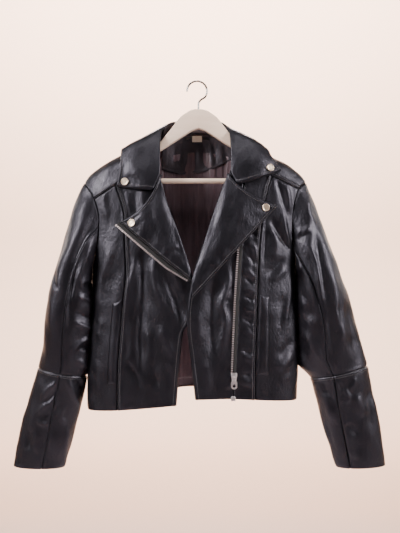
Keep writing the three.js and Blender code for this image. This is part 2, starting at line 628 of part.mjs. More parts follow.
// The stand rises from the back neck seam to the roll line of the leaf.
const STAND = { firstRow: 9, flare: 1.12, half: NECK_HALF - 4, footRise: 2.1, underRoll: [0, -3.6, -3.4] };
const standRows = collarRows.slice(STAND.firstRow, collarRows.length - STAND.firstRow).map((row) => {
  const head = row[0].clone().add(new THREE.Vector3(...STAND.underRoll));
  const x = clamp(row[0].x * STAND.flare, -STAND.half, STAND.half);
  const foot = cloth('back', x, neckSeamZ(x), -WALL).point;
  foot.z += STAND.footRise;
  return span(3).map((j) => foot.clone().lerp(head, j / 3));
});
add('collar_stand', wallGeometry(withOutward(standRows, INSIDE_NECK), TRIM_WALL), LEATHER);

// ---- Lapels -------------------------------------------------------------------------------------

function lapelPoint(side, down, across) {
  const rows = LAPELS[side].map((row, at) => ({ at, ...row, l0: row.lift[0], l1: row.lift[1], l2: row.lift[2] }));
  const column = (name) => read(rows, 'at', down * (rows.length - 1), name);
  const x = throughThree(column('breakX'), column('middleX'), column('edgeX'), across);
  const z = throughThree(column('breakZ'), column('middleZ'), column('edgeZ'), across);
  return cloth(`front_${side}`, x, z, throughThree(column('l0'), column('l1'), column('l2'), across));
}

const LAPEL_STEPS = { down: 10, across: 5 };

for (const side of ['r', 'l']) {
  const { down, across } = LAPEL_STEPS;
  const grid = span(down).map((i) => span(across).map((j) => lapelPoint(side, i / down, j / across)));
  add(`lapel_${side}`, wallGeometry(grid, LEAF_WALL), LEATHER);
}

// ---- Zips ---------------------------------------------------------------------------------------

// The half on the right lapel runs along the lapel's lower edge, just outside it.
const TAPE_SHOWS = { gap: 0.4, below: 1, least: 0.35, fullAfter: 4 };
const lapelZip = span(LAPEL_STEPS.down).map((i) => {
  const last = LAPEL_STEPS.down;
  const edge = lapelPoint('r', i / last, 1);
  const before = lapelPoint('r', Math.max(i - 1, 0) / last, 1).point;
  const after = lapelPoint('r', Math.min(i + 1, last) / last, 1).point;
  const along = after.clone().sub(before).normalize();
  const sideways = along.clone().cross(edge.out).normalize();
  if (sideways.z > 0) sideways.negate();
  return [0, 1].map((j) => {
    const wide = Math.min(1, TAPE_SHOWS.least + (last - i) / TAPE_SHOWS.fullAfter);
    const point = edge.point.clone()
      .addScaledVector(sideways, TAPE_SHOWS.gap + j * ZIP.tape * wide)
      .addScaledVector(edge.out, -TAPE_SHOWS.below);
    return { point, out: edge.out };
  });
});
add('lapel_zip_r', wallGeometry(lapelZip, TRIM_WALL), TAPE);

// The half on the left front lies on the seam between the centre panel and the strip.
const ZIP_STEPS = 12;
const frontZip = span(ZIP_STEPS).map((i) => {
  const z = lerp(ZIP.topZ, ZIP.footZ, i / ZIP_STEPS);
  const x = seamX(SEAMS.l.zip, z);
  return [-1, 0, 1].map((j) => cloth('front_l', x + (j * ZIP.tape) / 2, z, LAY_GAP + TRIM_WALL));
});
add('front_zip_l', wallGeometry(frontZip, TRIM_WALL), TAPE);

// Slider, box and pull stand in front of the zip's foot.
function block(width, deep, height, bevel) {
  const shape = new THREE.Shape();
  const [w, h] = [width / 2 - bevel, height / 2 - bevel];
  shape.moveTo(-w, -h).lineTo(w, -h).lineTo(w, h).lineTo(-w, h).closePath();
  const geometry = new THREE.ExtrudeGeometry(shape, {
    depth: deep - 2 * bevel, bevelEnabled: true, bevelSize: bevel, bevelThickness: bevel, bevelSegments: 1,
  });
  geometry.translate(0, 0, -(deep - 2 * bevel) / 2);
  geometry.rotateX(Math.PI / 2);
  return geometry;
}

function solidOf(geometry) {
  const bare = geometry.clone();
  bare.deleteAttribute('normal');
  bare.deleteAttribute('uv');
  const merged = mergeVertices(bare, 1e-4);
  return new wasm.Manifold(new wasm.Mesh({
    numProp: 3,
    vertProperties: new Float32Array(merged.attributes.position.array),
    triVerts: new Uint32Array(merged.index.array),
  }));
}

function geometryOf(solid) {
  const mesh = solid.getMesh();
  const geometry = new THREE.BufferGeometry();
  geometry.setAttribute('position', new THREE.BufferAttribute(mesh.vertProperties, 3));
  geometry.setIndex(new THREE.BufferAttribute(mesh.triVerts, 1));
  geometry.computeVertexNormals();
  return geometry;
}

function rod(radius, length, sides) {
  return new THREE.CylinderGeometry(radius, radius, length, sides).rotateZ(Math.PI / 2);
}

// The slider carries two lugs with a pin between them. The pull's eye turns on the pin.
const PIN = { radius: 0.65, eyeRadius: 0.95, barrel: 1.9, barrelLength: 4.4, standOff: 2.3, above: 1 };
const LUG = { thick: 1.4, tall: 3.6, pastPin: 2.2 };
const [sliderWidth, sliderDeep, sliderTall] = ZIP.slider;
const sliderZ = ZIP.footZ - SLIDER_BELOW;
const sliderSeat = cloth('front_l', seamX(SEAMS.l.zip, sliderZ), sliderZ);
const sliderY = sliderSeat.point.y - METAL_GAP - sliderDeep / 2;
const pinY = -sliderDeep / 2 - PIN.standOff;
const lugX = PIN.barrelLength / 2 + SEAM_GAP + LUG.thick / 2;
let sliderSolid = solidOf(block(sliderWidth, sliderDeep, sliderTall, 1));
for (const sign of [-1, 1]) {
  const lug = new THREE.BoxGeometry(LUG.thick, PIN.standOff + LUG.pastPin, LUG.tall);
  lug.translate(sign * lugX, pinY + PIN.standOff / 2, PIN.above);
  sliderSolid = sliderSolid.add(solidOf(lug));
}
sliderSolid = sliderSolid.add(solidOf(rod(PIN.radius, 2 * lugX, 10).translate(0, pinY, PIN.above)));
const slider = add('zip_slider', geometryOf(sliderSolid), METAL);
slider.position.set(sliderSeat.point.x, sliderY, sliderZ);

const BOX_PAST_HEM = 3;
const boxZ = bottomOf(SEAMS.l.zip) + ZIP.box[2] / 2 - BOX_PAST_HEM;
const boxSeat = cloth('front_l', seamX(SEAMS.l.zip, boxZ), boxZ);
const box = add('zip_box_l', block(...ZIP.box, 0.8), METAL);
box.position.set(boxSeat.point.x, boxSeat.point.y - METAL_GAP - ZIP.box[1] / 2, boxZ);

// The pull tab hangs flat in front of the slider: an eye, a narrow neck and a round end with a hole.
const [pullWidth, pullThick, pullLong] = ZIP.pull;
const NECK = { half: 2.1, topZ: -1.25, footZ: -6, flareZ: -10 };
const PULL_HOLE = { radius: 3, fromFoot: 6 };
const roundZ = -pullLong + pullWidth / 2;
const pullShape = new THREE.Shape();
pullShape.moveTo(-NECK.half, NECK.topZ).lineTo(-NECK.half, NECK.footZ).lineTo(-pullWidth / 2, NECK.flareZ);
pullShape.lineTo(-pullWidth / 2, roundZ);
pullShape.absarc(0, roundZ, pullWidth / 2, Math.PI, 2 * Math.PI, false);
pullShape.lineTo(pullWidth / 2, NECK.flareZ).lineTo(NECK.half, NECK.footZ);
pullShape.lineTo(NECK.half, NECK.topZ).closePath();
const pullHole = new THREE.Path();
pullHole.absarc(0, -pullLong + PULL_HOLE.fromFoot, PULL_HOLE.radius, 0, 2 * Math.PI, true);
pullShape.holes.push(pullHole);
const plate = new THREE.ExtrudeGeometry(pullShape, { depth: pullThick, bevelEnabled: false, curveSegments: 6 });
plate.translate(0, 0, -pullThick / 2).rotateX(Math.PI / 2);
const pullSolid = solidOf(plate).add(solidOf(rod(PIN.barrel, PIN.barrelLength, 14)))
  .subtract(solidOf(rod(PIN.eyeRadius, PIN.barrelLength + 2, 12)));
const pull = add('zip_pull', geometryOf(pullSolid), METAL);
pull.position.set(sliderSeat.point.x, sliderY + pinY, sliderZ + PIN.above);

// ---- Studs --------------------------------------------------------------------------------------

function stud(name, seat) {
  const { diameter, height, rim, dish } = STUD;
  const radius = diameter / 2;
  const profile = [
    [0, 0], [radius - rim, 0], [radius, 0.6], [radius, height - 0.7], [radius - rim, height],
    [radius - 2 * rim, height - dish], [0, height - dish],
  ].map(([r, y]) => new THREE.Vector2(r, y));
  const mesh = add(name, new THREE.LatheGeometry(profile, 16), METAL);
  mesh.quaternion.setFromUnitVectors(new THREE.Vector3(0, 1, 0), seat.out);
  mesh.position.copy(seat.point).addScaledVector(seat.out, STUD.gap);
}

// A stud sits on the collar leaf or on the lapel, near the point, square to the leather there.
const leafSeat = (row, column) => leaf[row][column];

function lapelSeat(side, down, across) {
  const step = 0.05;
  const along = lapelPoint(side, down + step, across).point.sub(lapelPoint(side, down - step, across).point);
  const over = lapelPoint(side, down, across + step).point.sub(lapelPoint(side, down, across - step).point);
  const { point, out } = lapelPoint(side, down, across);
  const square = along.cross(over).normalize();
  return { point, out: square.dot(out) < 0 ? square.negate() : square };
}
stud('stud_collar_r', leafSeat(1, 4));
stud('stud_collar_l', leafSeat(collarRows.length - 2, 4));
stud('stud_lapel_r', lapelSeat('r', 0.1, 0.88));
stud('stud_lapel_l', lapelSeat('l', 0.065, 0.86));

// ---- Hang loop and label ------------------------------------------------------------------------

const LOOP = { width: 54, tall: 5, thick: 1.2, bow: 4, below: 5, droop: 3 };
const LABEL_SIZE = { width: 21, tall: 13, below: 2, wall: 0.8 };

function inNeck(halfWidth, z, tall, lift, columns) {
  return span(1).map((i) => span(columns).map((j) => {
    const x = lerp(-halfWidth, halfWidth, j / columns);
    return cloth('back', x, z - i * tall, lift);
  }));
}
const labelLift = insideLift - TRIM_WALL - 2 * LAY_GAP;
const labelGrid = inNeck(LABEL_SIZE.width / 2, BACK_NECK_Z - LABEL_SIZE.below, LABEL_SIZE.tall, labelLift, 3);
add('neck_label', wallGeometry(labelGrid, LABEL_SIZE.wall), LABEL);

const loopPath = new THREE.CatmullRomCurve3(span(8).map((i) => {
  const part = i / 4 - 1;
  const z = BACK_NECK_Z - LOOP.below - LOOP.droop * part * part;
  const seat = cloth('back', (part * LOOP.width) / 2, z, labelLift - 2 * SEAM_GAP - LOOP.thick);
  return seat.point.setY(seat.point.y - LOOP.bow * (1 - part * part));
}));
const loopSection = new THREE.Shape();
loopSection.moveTo(-LOOP.tall / 2, -LOOP.thick / 2).lineTo(LOOP.tall / 2, -LOOP.thick / 2);
loopSection.lineTo(LOOP.tall / 2, LOOP.thick / 2).lineTo(-LOOP.tall / 2, LOOP.thick / 2).closePath();
add('hang_loop', new THREE.ExtrudeGeometry(loopSection, { steps: 12, extrudePath: loopPath }), TAPE);

// ---- Hanger -------------------------------------------------------------------------------------

// The outline of the arms, drawn from above: the top runs just under the shoulder cloth.
const shoulderOver = (x) => Math.min(shoulderZ(HANGER.x + x), shoulderZ(HANGER.x - x));
const armTop = (x) => Math.min(shoulderOver(x) - HANGER.clothGap, HANGER.topZ);
const armOutline = [
  ...[197, 185, 167, 145, 120, 95].map((x) => [x, armTop(x)]),
  [76, -124], [45, -81.5], [37, -72], [27, -65], [19.4, -59.5], [13.5, -57.2], [0, HANGER.topZ],
];
const armUnder = [
  [0, HANGER.vUnderZ], [14, -101], [76, -141], [130, -160], [165, -180], [HANGER.barHalf, -195],
  [HANGER.barHalf, -210], [190, -214], [198, -213], [203, -207], [202, -196],
];
const armShape = new THREE.Shape();
const mirrored = (points) => points.map(([x, z]) => [-x, z]);
const ring = [
  ...armOutline, ...mirrored(armOutline).reverse().slice(1),
  ...mirrored(armUnder).reverse(), ...armUnder.slice(1),
].map(([x, z]) => [x + HANGER.x, z]);
armShape.setFromPoints(ring.map(([x, z]) => new THREE.Vector2(x, z)));
const armDepth = HANGER.thickness - 2 * HANGER.bevel;
const armGeometry = new THREE.ExtrudeGeometry(armShape, {
  depth: armDepth, bevelEnabled: true, bevelSize: HANGER.bevel, bevelOffset: -HANGER.bevel,
  bevelThickness: HANGER.bevel, bevelSegments: 2,
});
armGeometry.translate(0, 0, -armDepth / 2);
armGeometry.rotateX(Math.PI / 2);
add('hanger_arms', armGeometry, WOOD);

// The bar runs between the inner faces of the arm ends.
const barHalf = HANGER.barHalf - SEAM_GAP;
const barGeometry = new THREE.CylinderGeometry(HANGER.barDiameter / 2, HANGER.barDiameter / 2, 2 * barHalf, 12);
barGeometry.rotateZ(Math.PI / 2);
const bar = add('hanger_bar', barGeometry, WOOD);
bar.position.set(HANGER.x, 0, HANGER.barZ);

// The wire hook: most of a circle, then an S-bend down into the wood.
const hookZ = HANGER.wire / 2 - HANGER.hookRadius;
const hookPoints = [];
for (let angle = 178; angle >= -42; angle -= 20) {
  const turn = degToRad(angle);
  hookPoints.push([HANGER.hookRadius * Math.cos(turn), hookZ + HANGER.hookRadius * Math.sin(turn)]);
}
hookPoints.push([7, -37.5], [HANGER.x, -44], [HANGER.x, HANGER.topZ + SEAM_GAP]);
const hookPath = new THREE.CatmullRomCurve3(hookPoints.map(([x, z]) => new THREE.Vector3(x, 0, z)));
const wireSection = new THREE.Shape();
wireSection.absarc(0, 0, HANGER.wire / 2, 0, 2 * Math.PI, false);
add('hanger_hook', new THREE.ExtrudeGeometry(wireSection, {
  steps: 32, curveSegments: 4, extrudePath: hookPath,
}), METAL);

export default jacket;
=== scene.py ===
# %% [markdown]
# # A faux leather biker jacket on a coat hanger
#
# The jacket is dressed here over its rigid model. Every leather panel is built again as a thin shell on
# the same cut, with its folds, seams, stitching, zips and studs. Lengths in the tables are millimetres,
# the wearer's right is -X and is marked r, the left is +X and is marked l, and the front faces -Y.
# We load the model first and keep its parts, whose boxes place the zip's end box and the press studs.

# %% Load the model
import math

import bmesh
import bpy
import numpy as np
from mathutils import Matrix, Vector


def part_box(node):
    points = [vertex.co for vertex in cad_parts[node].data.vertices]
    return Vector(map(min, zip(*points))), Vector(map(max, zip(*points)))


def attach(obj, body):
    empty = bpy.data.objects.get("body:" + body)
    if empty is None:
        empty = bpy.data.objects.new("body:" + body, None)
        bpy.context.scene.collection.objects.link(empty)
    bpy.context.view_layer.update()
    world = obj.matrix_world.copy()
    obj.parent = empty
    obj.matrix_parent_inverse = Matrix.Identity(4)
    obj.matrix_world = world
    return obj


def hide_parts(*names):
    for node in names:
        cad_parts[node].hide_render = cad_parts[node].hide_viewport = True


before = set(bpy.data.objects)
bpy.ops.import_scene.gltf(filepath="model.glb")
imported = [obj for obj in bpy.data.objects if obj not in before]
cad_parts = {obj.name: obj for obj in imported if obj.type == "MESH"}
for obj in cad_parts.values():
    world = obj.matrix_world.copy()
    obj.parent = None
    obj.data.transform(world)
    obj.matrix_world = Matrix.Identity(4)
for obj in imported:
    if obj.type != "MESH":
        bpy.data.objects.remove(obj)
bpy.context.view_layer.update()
MM = 0.001

# %% [markdown]
# ## Camera
#
# The jacket hangs at the height of the eye and is seen square on from about a metre and a quarter, so
# the sleeves spread a little by perspective. A longer lens further off would flatten them.

# %% Camera
def add_object(name, data):
    made = bpy.data.objects.new(name, data)
    bpy.context.collection.objects.link(made)
    return made


camera_data = bpy.data.cameras.new("camera")
camera_data.lens = 41.16
camera_data.clip_end = 20
camera = add_object("camera", camera_data)
camera.location = (0.00615, -1.25, -0.3782)
camera.rotation_euler = (math.radians(90), 0, 0)
bpy.context.scene.camera = camera
print("camera:", tuple(camera.location))

# %% [markdown]
# ## Room and light
#
# Black leather shows its form only by what it mirrors, so the lights matter more than the colour. One
# plain pale sweep serves as floor and wall, warm on the wall and neutral near the floor, where the back
# of the jacket mirrors it. Two wide soft lamps stand in front and a faint one above, three weak ones
# behind pick out the sleeve edges and the back, and a broad one washes the wall.

# %% Materials
class Finish:
    """A material with one shader, and short ways to wire patterns into it. Its plain colour is what a
    viewer without patterns shows."""

    def __init__(self, name, color, roughness, metallic=0.0):
        self.material = bpy.data.materials.new(name)
        self.material.use_nodes = True
        self.tree = self.material.node_tree
        self.set(Base_Color=(*color, 1), Roughness=roughness, Metallic=metallic)
        self.place = self.add("TexCoord").outputs["Object"]

    def wire(self, node, **sockets):
        for name, value in sockets.items():
            socket = node.inputs[name.replace("_", " ")]
            if isinstance(value, bpy.types.NodeSocket):
                self.tree.links.new(value, socket)
            else:
                socket.default_value = value

    def set(self, **sockets):
        self.wire(self.tree.nodes["Principled BSDF"], **sockets)

    def add(self, kind, **sockets):
        node = self.tree.nodes.new("ShaderNode" + kind)
        self.wire(node, **sockets)
        return node

    def between(self, value, low, high, start=0.3, stop=0.7):
        ends = {"From_Min": start, "From_Max": stop, "To_Min": low, "To_Max": high}
        return self.add("MapRange", Value=value, **ends).outputs["Result"]

    def mixed(self, value, dark, light):
        node = self.add("Mix")
        node.data_type = "RGBA"
        self.wire(node, Factor=value, A=(*dark, 1), B=(*light, 1))
        return node.outputs["Result"]

# %% Backdrop
def smooth_faces(mesh):
    mesh.polygons.foreach_set("use_smooth", [True] * len(mesh.polygons))


def mesh_object(name, points, faces):
    mesh = bpy.data.meshes.new(name)
    mesh.from_pydata([tuple(p) for p in points], [], [tuple(f) for f in faces])
    mesh.update()
    return add_object(name, mesh)


HALF_WIDTH, FRONT, WALL_Y, FLOOR, TOP, BEND = 7.0, -6.0, 3.2, -1.35, 5.0, 1.2
WARM_PAINT, NEUTRAL_PAINT = (0.9, 0.64, 0.5), (0.62, 0.58, 0.61)
bend_steps = [(WALL_Y - BEND * (1 - math.sin(a)), FLOOR + BEND * (1 - math.cos(a)))
              for a in np.linspace(0, math.pi / 2, 13)]
profile = [(FRONT, FLOOR), *bend_steps, (WALL_Y, TOP)]
sweep = mesh_object("backdrop", [(side * HALF_WIDTH, y, z) for y, z in profile for side in (-1, 1)],
                    [(2 * i, 2 * i + 1, 2 * i + 3, 2 * i + 2) for i in range(len(profile) - 1)])
paint = Finish("wall_paint", WARM_PAINT, 0.9)
axes = paint.add("SeparateXYZ", Vector=paint.place).outputs
near_wall = paint.between(axes["Y"], 0, 1, 0.2, 1.2)
paint.set(Base_Color=paint.mixed(near_wall, NEUTRAL_PAINT, WARM_PAINT))
sweep.data.materials.append(paint.material)
smooth_faces(sweep.data)

# %% Lamps
JACKET_MIDDLE = (0, 0, -0.4)
PLAIN, DAYLIGHT = (1, 1, 1), (1, 0.97, 0.95)


def lamp(name, place, size, power, color=DAYLIGHT, aim=JACKET_MIDDLE, spread=70):
    data = bpy.data.lights.new(name, "AREA")
    data.shape = "RECTANGLE"
    data.size, data.size_y = size
    data.energy = power
    data.spread = math.radians(spread)
    data.color = color
    made = add_object(name, data)
    made.location = place
    made.rotation_euler = (Vector(aim) - Vector(place)).to_track_quat("-Z", "Y").to_euler()
    print(f"lamp {name}: {power} W")


lamp("window", (-2.5, -1.6, 1.2), (0.9, 1.8), 29)
lamp("fill", (2.7, -1.3, 0.7), (0.7, 1.8), 22, (1, 0.96, 0.95))
lamp("top", (0.1, -1.1, 2.2), (1.4, 0.6), 4)
lamp("back_left", (-2.2, 1.6, 0.6), (1.2, 1.6), 3, PLAIN)
lamp("back_right", (2.2, 1.6, 0.6), (1.2, 1.6), 3, PLAIN)
lamp("behind", (0, 2.3, 1.9), (1.6, 0.6), 18, (0.95, 0.95, 1))
lamp("wall_wash", (0, 0.6, 3.2), (5.0, 1.0), 520, (1, 0.92, 0.85), (0, 3.2, 1.1), 100)
world = bpy.data.worlds.new("room")
world.use_nodes = True
background = world.node_tree.nodes["Background"].inputs
background["Color"].default_value = (0.95, 0.9, 0.86, 1)
background["Strength"].default_value = 0.03
bpy.context.scene.world = world

# %% [markdown]
# ## The cut of the body
#
# A jacket on a hanger is a flattened tube that rounds off over the shoulders. Its side edges and its
# depth in front of and behind the hanger are read from a table at each height, as a tailor reads a
# block, and smooth curves join the rows. The same table serves the solids, so shell and solid agree.

# %% Reading a table as a smooth curve
def smooth_curve(points):
    place, value = np.array(sorted(points), float).T
    step = np.diff(value) / np.diff(place)
    slope = np.concatenate([step[:1], np.zeros(len(step) - 1), step[-1:]])
    before, after = step[:-1], step[1:]
    same = before * after > 0
    slope[1:-1][same] = (2 * before * after)[same] / (before + after)[same]

    def at(p):
        p = np.clip(p, place[0], place[-1])
        i = np.clip(np.searchsorted(place, p), 1, len(place) - 1)
        span = place[i] - place[i - 1]
        t = (p - place[i - 1]) / span
        return ((2 * t**3 - 3 * t**2 + 1) * value[i - 1] + (t**3 - 2 * t**2 + t) * span * slope[i - 1]
                + (3 * t**2 - 2 * t**3) * value[i] + (t**3 - t**2) * span * slope[i])
    return at


def columns_of(rows, names):
    return {name: smooth_curve([(row[0], row[i + 1]) for row in rows]) for i, name in enumerate(names)}


def smoothstep(value, low, high):
    t = np.clip((value - low) / (high - low), 0, 1)
    return t * t * (3 - 2 * t)

# %% The body's block
WALL = 1.6
ROLL = 62
SQUARENESS = 2.5
OVERLAP_LIFT = 7
NECK_HALF = 80
BACK_NECK_Z = -101

body = columns_of([  # height: right edge, left edge, depth in front, depth behind
    (-90, -238, 231, 20, 35), (-150, -238, 231, 32, 36), (-206, -236, 228, 42, 39),
    (-290, -224, 213, 52, 42), (-345, -217, 205, 57, 45), (-385, -213, 201, 59, 46),
    (-460, -213, 203, 61, 48), (-540, -220, 208, 61, 48), (-610, -223, 206, 59, 48),
    (-680, -223, 202, 57, 47)], ("right", "left", "front", "back"))
shoulder_z = smooth_curve([
    (-245, -240), (-230, -206), (-213, -186), (-181, -165), (-150, -147), (-80, -115), (0, -76),
    (80, -116), (149, -151), (186, -171), (213, -192), (223, -206), (240, -238)])
back_hem_z = smooth_curve([(-223, -668), (-120, -645), (0, -632), (110, -634), (203, -648)])

ARMHOLE = {
    "r": [(-206, -230), (-242, -207), (-288, -197), (-345, -203), (-385, -213)],
    "l": [(-206, 223), (-223, 205), (-281, 193), (-335, 194), (-375, 201)]}
SEAMS = {
    "r": {"opening": [(-115, -80), (-180, -77), (-214, -72), (-300, -42), (-388, -11), (-420, -4),
                      (-483, -14), (-510, -27), (-651, -40)],
          "princess": [(-213, -163), (-281, -144), (-323, -143), (-389, -140), (-460, -147),
                       (-623, -157), (-663, -157)]},
    "l": {"opening": [(-116, 80), (-180, 69), (-214, 53), (-300, 24), (-402, -9), (-483, -20),
                      (-560, -12), (-638, -3)],
          "zip": [(-170, 96), (-278, 89), (-339, 86), (-444, 79), (-583, 73), (-638, 71)],
          "princess": [(-196, 150), (-245, 137), (-303, 127), (-369, 122), (-448, 119), (-582, 115),
                       (-641, 115)]}}
YOKE = {"r": (3, -163), "l": (2, -161)}
SIDE_HEM = {"r": -668, "l": -648}
ARMHOLE_ROWS, LAST_ROW = 10, 21
seam_x = {side: {name: smooth_curve(rows) for name, rows in seams.items()} for side, seams in SEAMS.items()}
armhole_x = {side: smooth_curve(rows) for side, rows in ARMHOLE.items()}

# %% The surface of the body
BACK_FOLDS = [((-120, -260), (-140, -620), 24, 5), ((-40, -300), (-55, -610), 22, -4),
              ((70, -240), (60, -600), 24, 4), ((140, -320), (150, -620), 22, -4)]


def side_fade(x, z):
    right, left = body["right"](z), body["left"](z)
    reach = np.minimum(np.abs(x - (right + left) / 2) / ((left - right) / 2), 1)
    return (1 - reach**SQUARENESS) ** (1 / SQUARENESS)


def top_fade(x, z):
    down = np.clip((shoulder_z(x) - z) / ROLL, 0, 1)
    return np.sqrt(1 - (1 - down) ** 2)


def depth(face, x, z):
    full = body["back" if face == "back" else "front"](z)
    if face == "back":
        for (x1, z1), (x2, z2), width, out in BACK_FOLDS:
            run = np.clip((z - z1) / (z2 - z1), 0, 1)
            across = (x - (x1 + (x2 - x1) * run)) / width
            past = (z - (z1 + (z2 - z1) * run)) / 45
            full = full + out * np.exp(-across**2 - past**2)
    if face == "front_l":
        full = full + OVERLAP_LIFT * (1 - smoothstep(x, -10, 60)) * smoothstep(-z, 330, 400)
    return full * side_fade(x, z) * top_fade(x, z)


def unit(vectors):
    return vectors / np.maximum(np.linalg.norm(vectors, axis=-1, keepdims=True), 1e-9)


def cloth(face, x, z, lift=0.0):
    """Points of the body's surface and the way out of it, in millimetres."""
    x, z = np.broadcast_arrays(np.asarray(x, float), np.asarray(z, float))
    sign = 1 if face == "back" else -1
    step = np.where(x > 0, -2.0, 2.0)
    here = depth(face, x, z)
    slope_x = (depth(face, x + step, z) - here) / step
    slope_z = (depth(face, x, z - 2) - here) / -2
    out = unit(np.stack([-slope_x, np.full_like(x, sign), -slope_z], -1))
    out[top_fade(x, z) < 0.03] = (0, 0, 1)
    edge = side_fade(x, z) < 0.03
    out[edge] = np.stack([np.sign(x[edge]), 0 * x[edge], 0 * x[edge]], -1)
    return np.stack([x, sign * here, z], -1) + out * np.asarray(lift)[..., None], out

# %% [markdown]
# ## Folds
#
# Stiff leather-look cloth falls in long soft troughs and ridges that fade out at both ends, and it
# breaks into short sharp ones where a limb would bend. A simulation is hard to steer to chosen folds,
# so every fold is laid one by one: a line on the cloth, its width, how far it stands out (in, if
# negative) and which side of it is steeper. A little slow unevenness keeps flat parts from being dead.

# %% Laying folds on the cloth
FOLD_STRENGTH = 1.3


def rounded_path(path, steps=6):
    """A smooth line through a few points."""
    points = np.array([path[0], *path, path[-1]], float)
    t = np.linspace(0, 1, steps, endpoint=False)[:, None]
    out = []
    for a, b, c, d in zip(points, points[1:], points[2:], points[3:]):
        out.append(0.5 * (2 * b + (c - a) * t + (2 * a - 5 * b + 4 * c - d) * t**2
                          + (3 * b - a - 3 * c + d) * t**3))
    return np.concatenate([*out, points[-1:]])


def relief(folds, x, z):
    height = np.zeros(np.shape(x))
    for path, width, out, lean in folds:
        line = rounded_path(path)
        size = np.hypot(*np.diff(line, axis=0).T)
        start = np.concatenate([[0], np.cumsum(size)])
        best, along, side = np.full(x.shape, 1e9), np.zeros(x.shape), np.zeros(x.shape)
        for (ax, az), (bx, bz), length, begun in zip(line, line[1:], size, start):
            dx, dz = (bx - ax) / max(length, 1e-6), (bz - az) / max(length, 1e-6)
            t = np.clip((x - ax) * dx + (z - az) * dz, 0, length)
            px, pz = x - ax - t * dx, z - az - t * dz
            gap = np.hypot(px, pz)
            near = gap < best
            best, along = np.where(near, gap, best), np.where(near, (begun + t) / start[-1], along)
            side = np.where(near, np.sign(dx * pz - dz * px), side)
        ease = smoothstep(np.minimum(along, 1 - along), 0, 0.3)
        sharp = 2.0 if out > 0 else 1.5
        height += out * ease * np.exp(-(best / (width * (1 + lean * side))) ** sharp)
    return FOLD_STRENGTH * height


def unevenness(points, seed, across, down, waves=7):
    """Slow waves through space, about one unit high, the same on both sides of every seam."""
    rng = np.random.default_rng(seed)
    total = np.zeros(points.shape[:-1])
    for _ in range(waves):
        heading = unit(rng.normal(size=3))
        length = rng.uniform(0.7, 1.5) * np.array([across, across, down])
        way = heading * 2 * math.pi / length
        total += np.sin(points @ way + rng.uniform(0, 2 * math.pi))
    return total * math.sqrt(2 / waves)


def fold_table(text):
    """Folds from lines of points x z, then after a colon width, height and lean."""
    folds = []
    for line in text.strip().splitlines():
        points, form = ([float(n) for n in half.split()] for half in line.split(":"))
        folds.append((list(zip(points[::2], points[1::2])), *form))
    return folds

# %% The folds of the right front
FOLDS_FRONT_R = fold_table("""
-169 -321  -177 -363  -189 -403  -194 -442  -193 -482 : 10 3 0
-159 -375  -166 -411  -169 -431  -168 -454 : 6 -1.5 0
-177 -386  -185 -425  -186 -459 : 5 -1.5 0
-199 -561  -197 -595  -196 -628 : 7 2 0
-203 -482  -192 -490  -197 -507  -193 -527 : 4 2 0
-130 -335  -122 -375  -135 -425  -138 -468  -145 -502 : 6 2.4 0
-104 -310  -107 -386  -107 -431  -111 -482  -112 -540  -107 -620 : 12 -7 0.3
-84 -352  -84 -408  -67 -454  -59 -482 : 9 4 -0.2
-73 -487  -62 -518  -51 -541  -38 -564 : 8 2.5 0
-67 -380  -51 -425  -34 -468  -27 -496 : 8 -4.5 0.2
-53 -375  -36 -408  -25 -434 : 6 2.5 0
-98 -490  -94 -538  -98 -583 : 6 2 0
-139 -564  -124 -586  -108 -623 : 5 -3.5 0.3
-130 -558  -114 -589  -98 -623 : 6 2 0
-79 -558  -84 -589  -73 -620 : 7 -2.5 0
-132 -499  -120 -470  -113 -431 : 3 -1.6 0
-144 -510  -138 -533  -141 -564 : 6 -1.5 0
-62 -561  -45 -583  -39 -617 : 7 1.5 0
-140 -222  -137 -250  -130 -285 : 5 1.2 0
-124 -222  -122 -252  -118 -285 : 5.5 -1.6 0
-108 -222  -107 -250  -103 -280 : 5 1.2 0
-190 -215  -186 -245  -178 -290 : 7 1.5 0""")

# %% The folds of the left front
FOLDS_FRONT_L = fold_table("""
60 -363  62 -408  47 -451  55 -482  47 -538  46 -575 : 6 4 0.3
34 -386  30 -454  30 -510  34 -563 : 11 -5.5 0
-1 -459  3 -496  3 -535 : 9 2.5 0
49 -446  61 -446  74 -444 : 3 -1.2 0
70 -363  71 -408  67 -442 : 7 -2 0
57 -580  64 -600  58 -623 : 7 2 0
11 -552  19 -592  27 -623 : 9 2 0
-6 -552  2 -592  8 -623 : 6 -1.5 0
147 -279  159 -307  178 -334  189 -352 : 5 -5 0.3
171 -267  177 -310  190 -349 : 5 4 0
138 -296  135 -341  131 -375 : 5 -3 0
153 -310  157 -341  152 -369 : 7 2.5 0
138 -398  157 -382  176 -359 : 3.2 -3.2 0.2
143 -409  163 -395  180 -378 : 5 2.2 0
186 -386  187 -426  177 -482  171 -516 : 4 2.8 -0.2
171 -426  168 -468  163 -504 : 6 -2 0
156 -584  174 -570  194 -553 : 8 3 0
160 -560  180 -540  194 -521 : 8 -2.5 0
163 -608  180 -600  194 -594 : 6 1.5 0
118 -205  116 -228  112 -250 : 5 -3 0
128 -203  128 -225  126 -248 : 4 2.2 0
158 -200  168 -235  178 -268 : 5 -3 0.2
176 -208  183 -240  186 -275 : 5 2.6 0""")
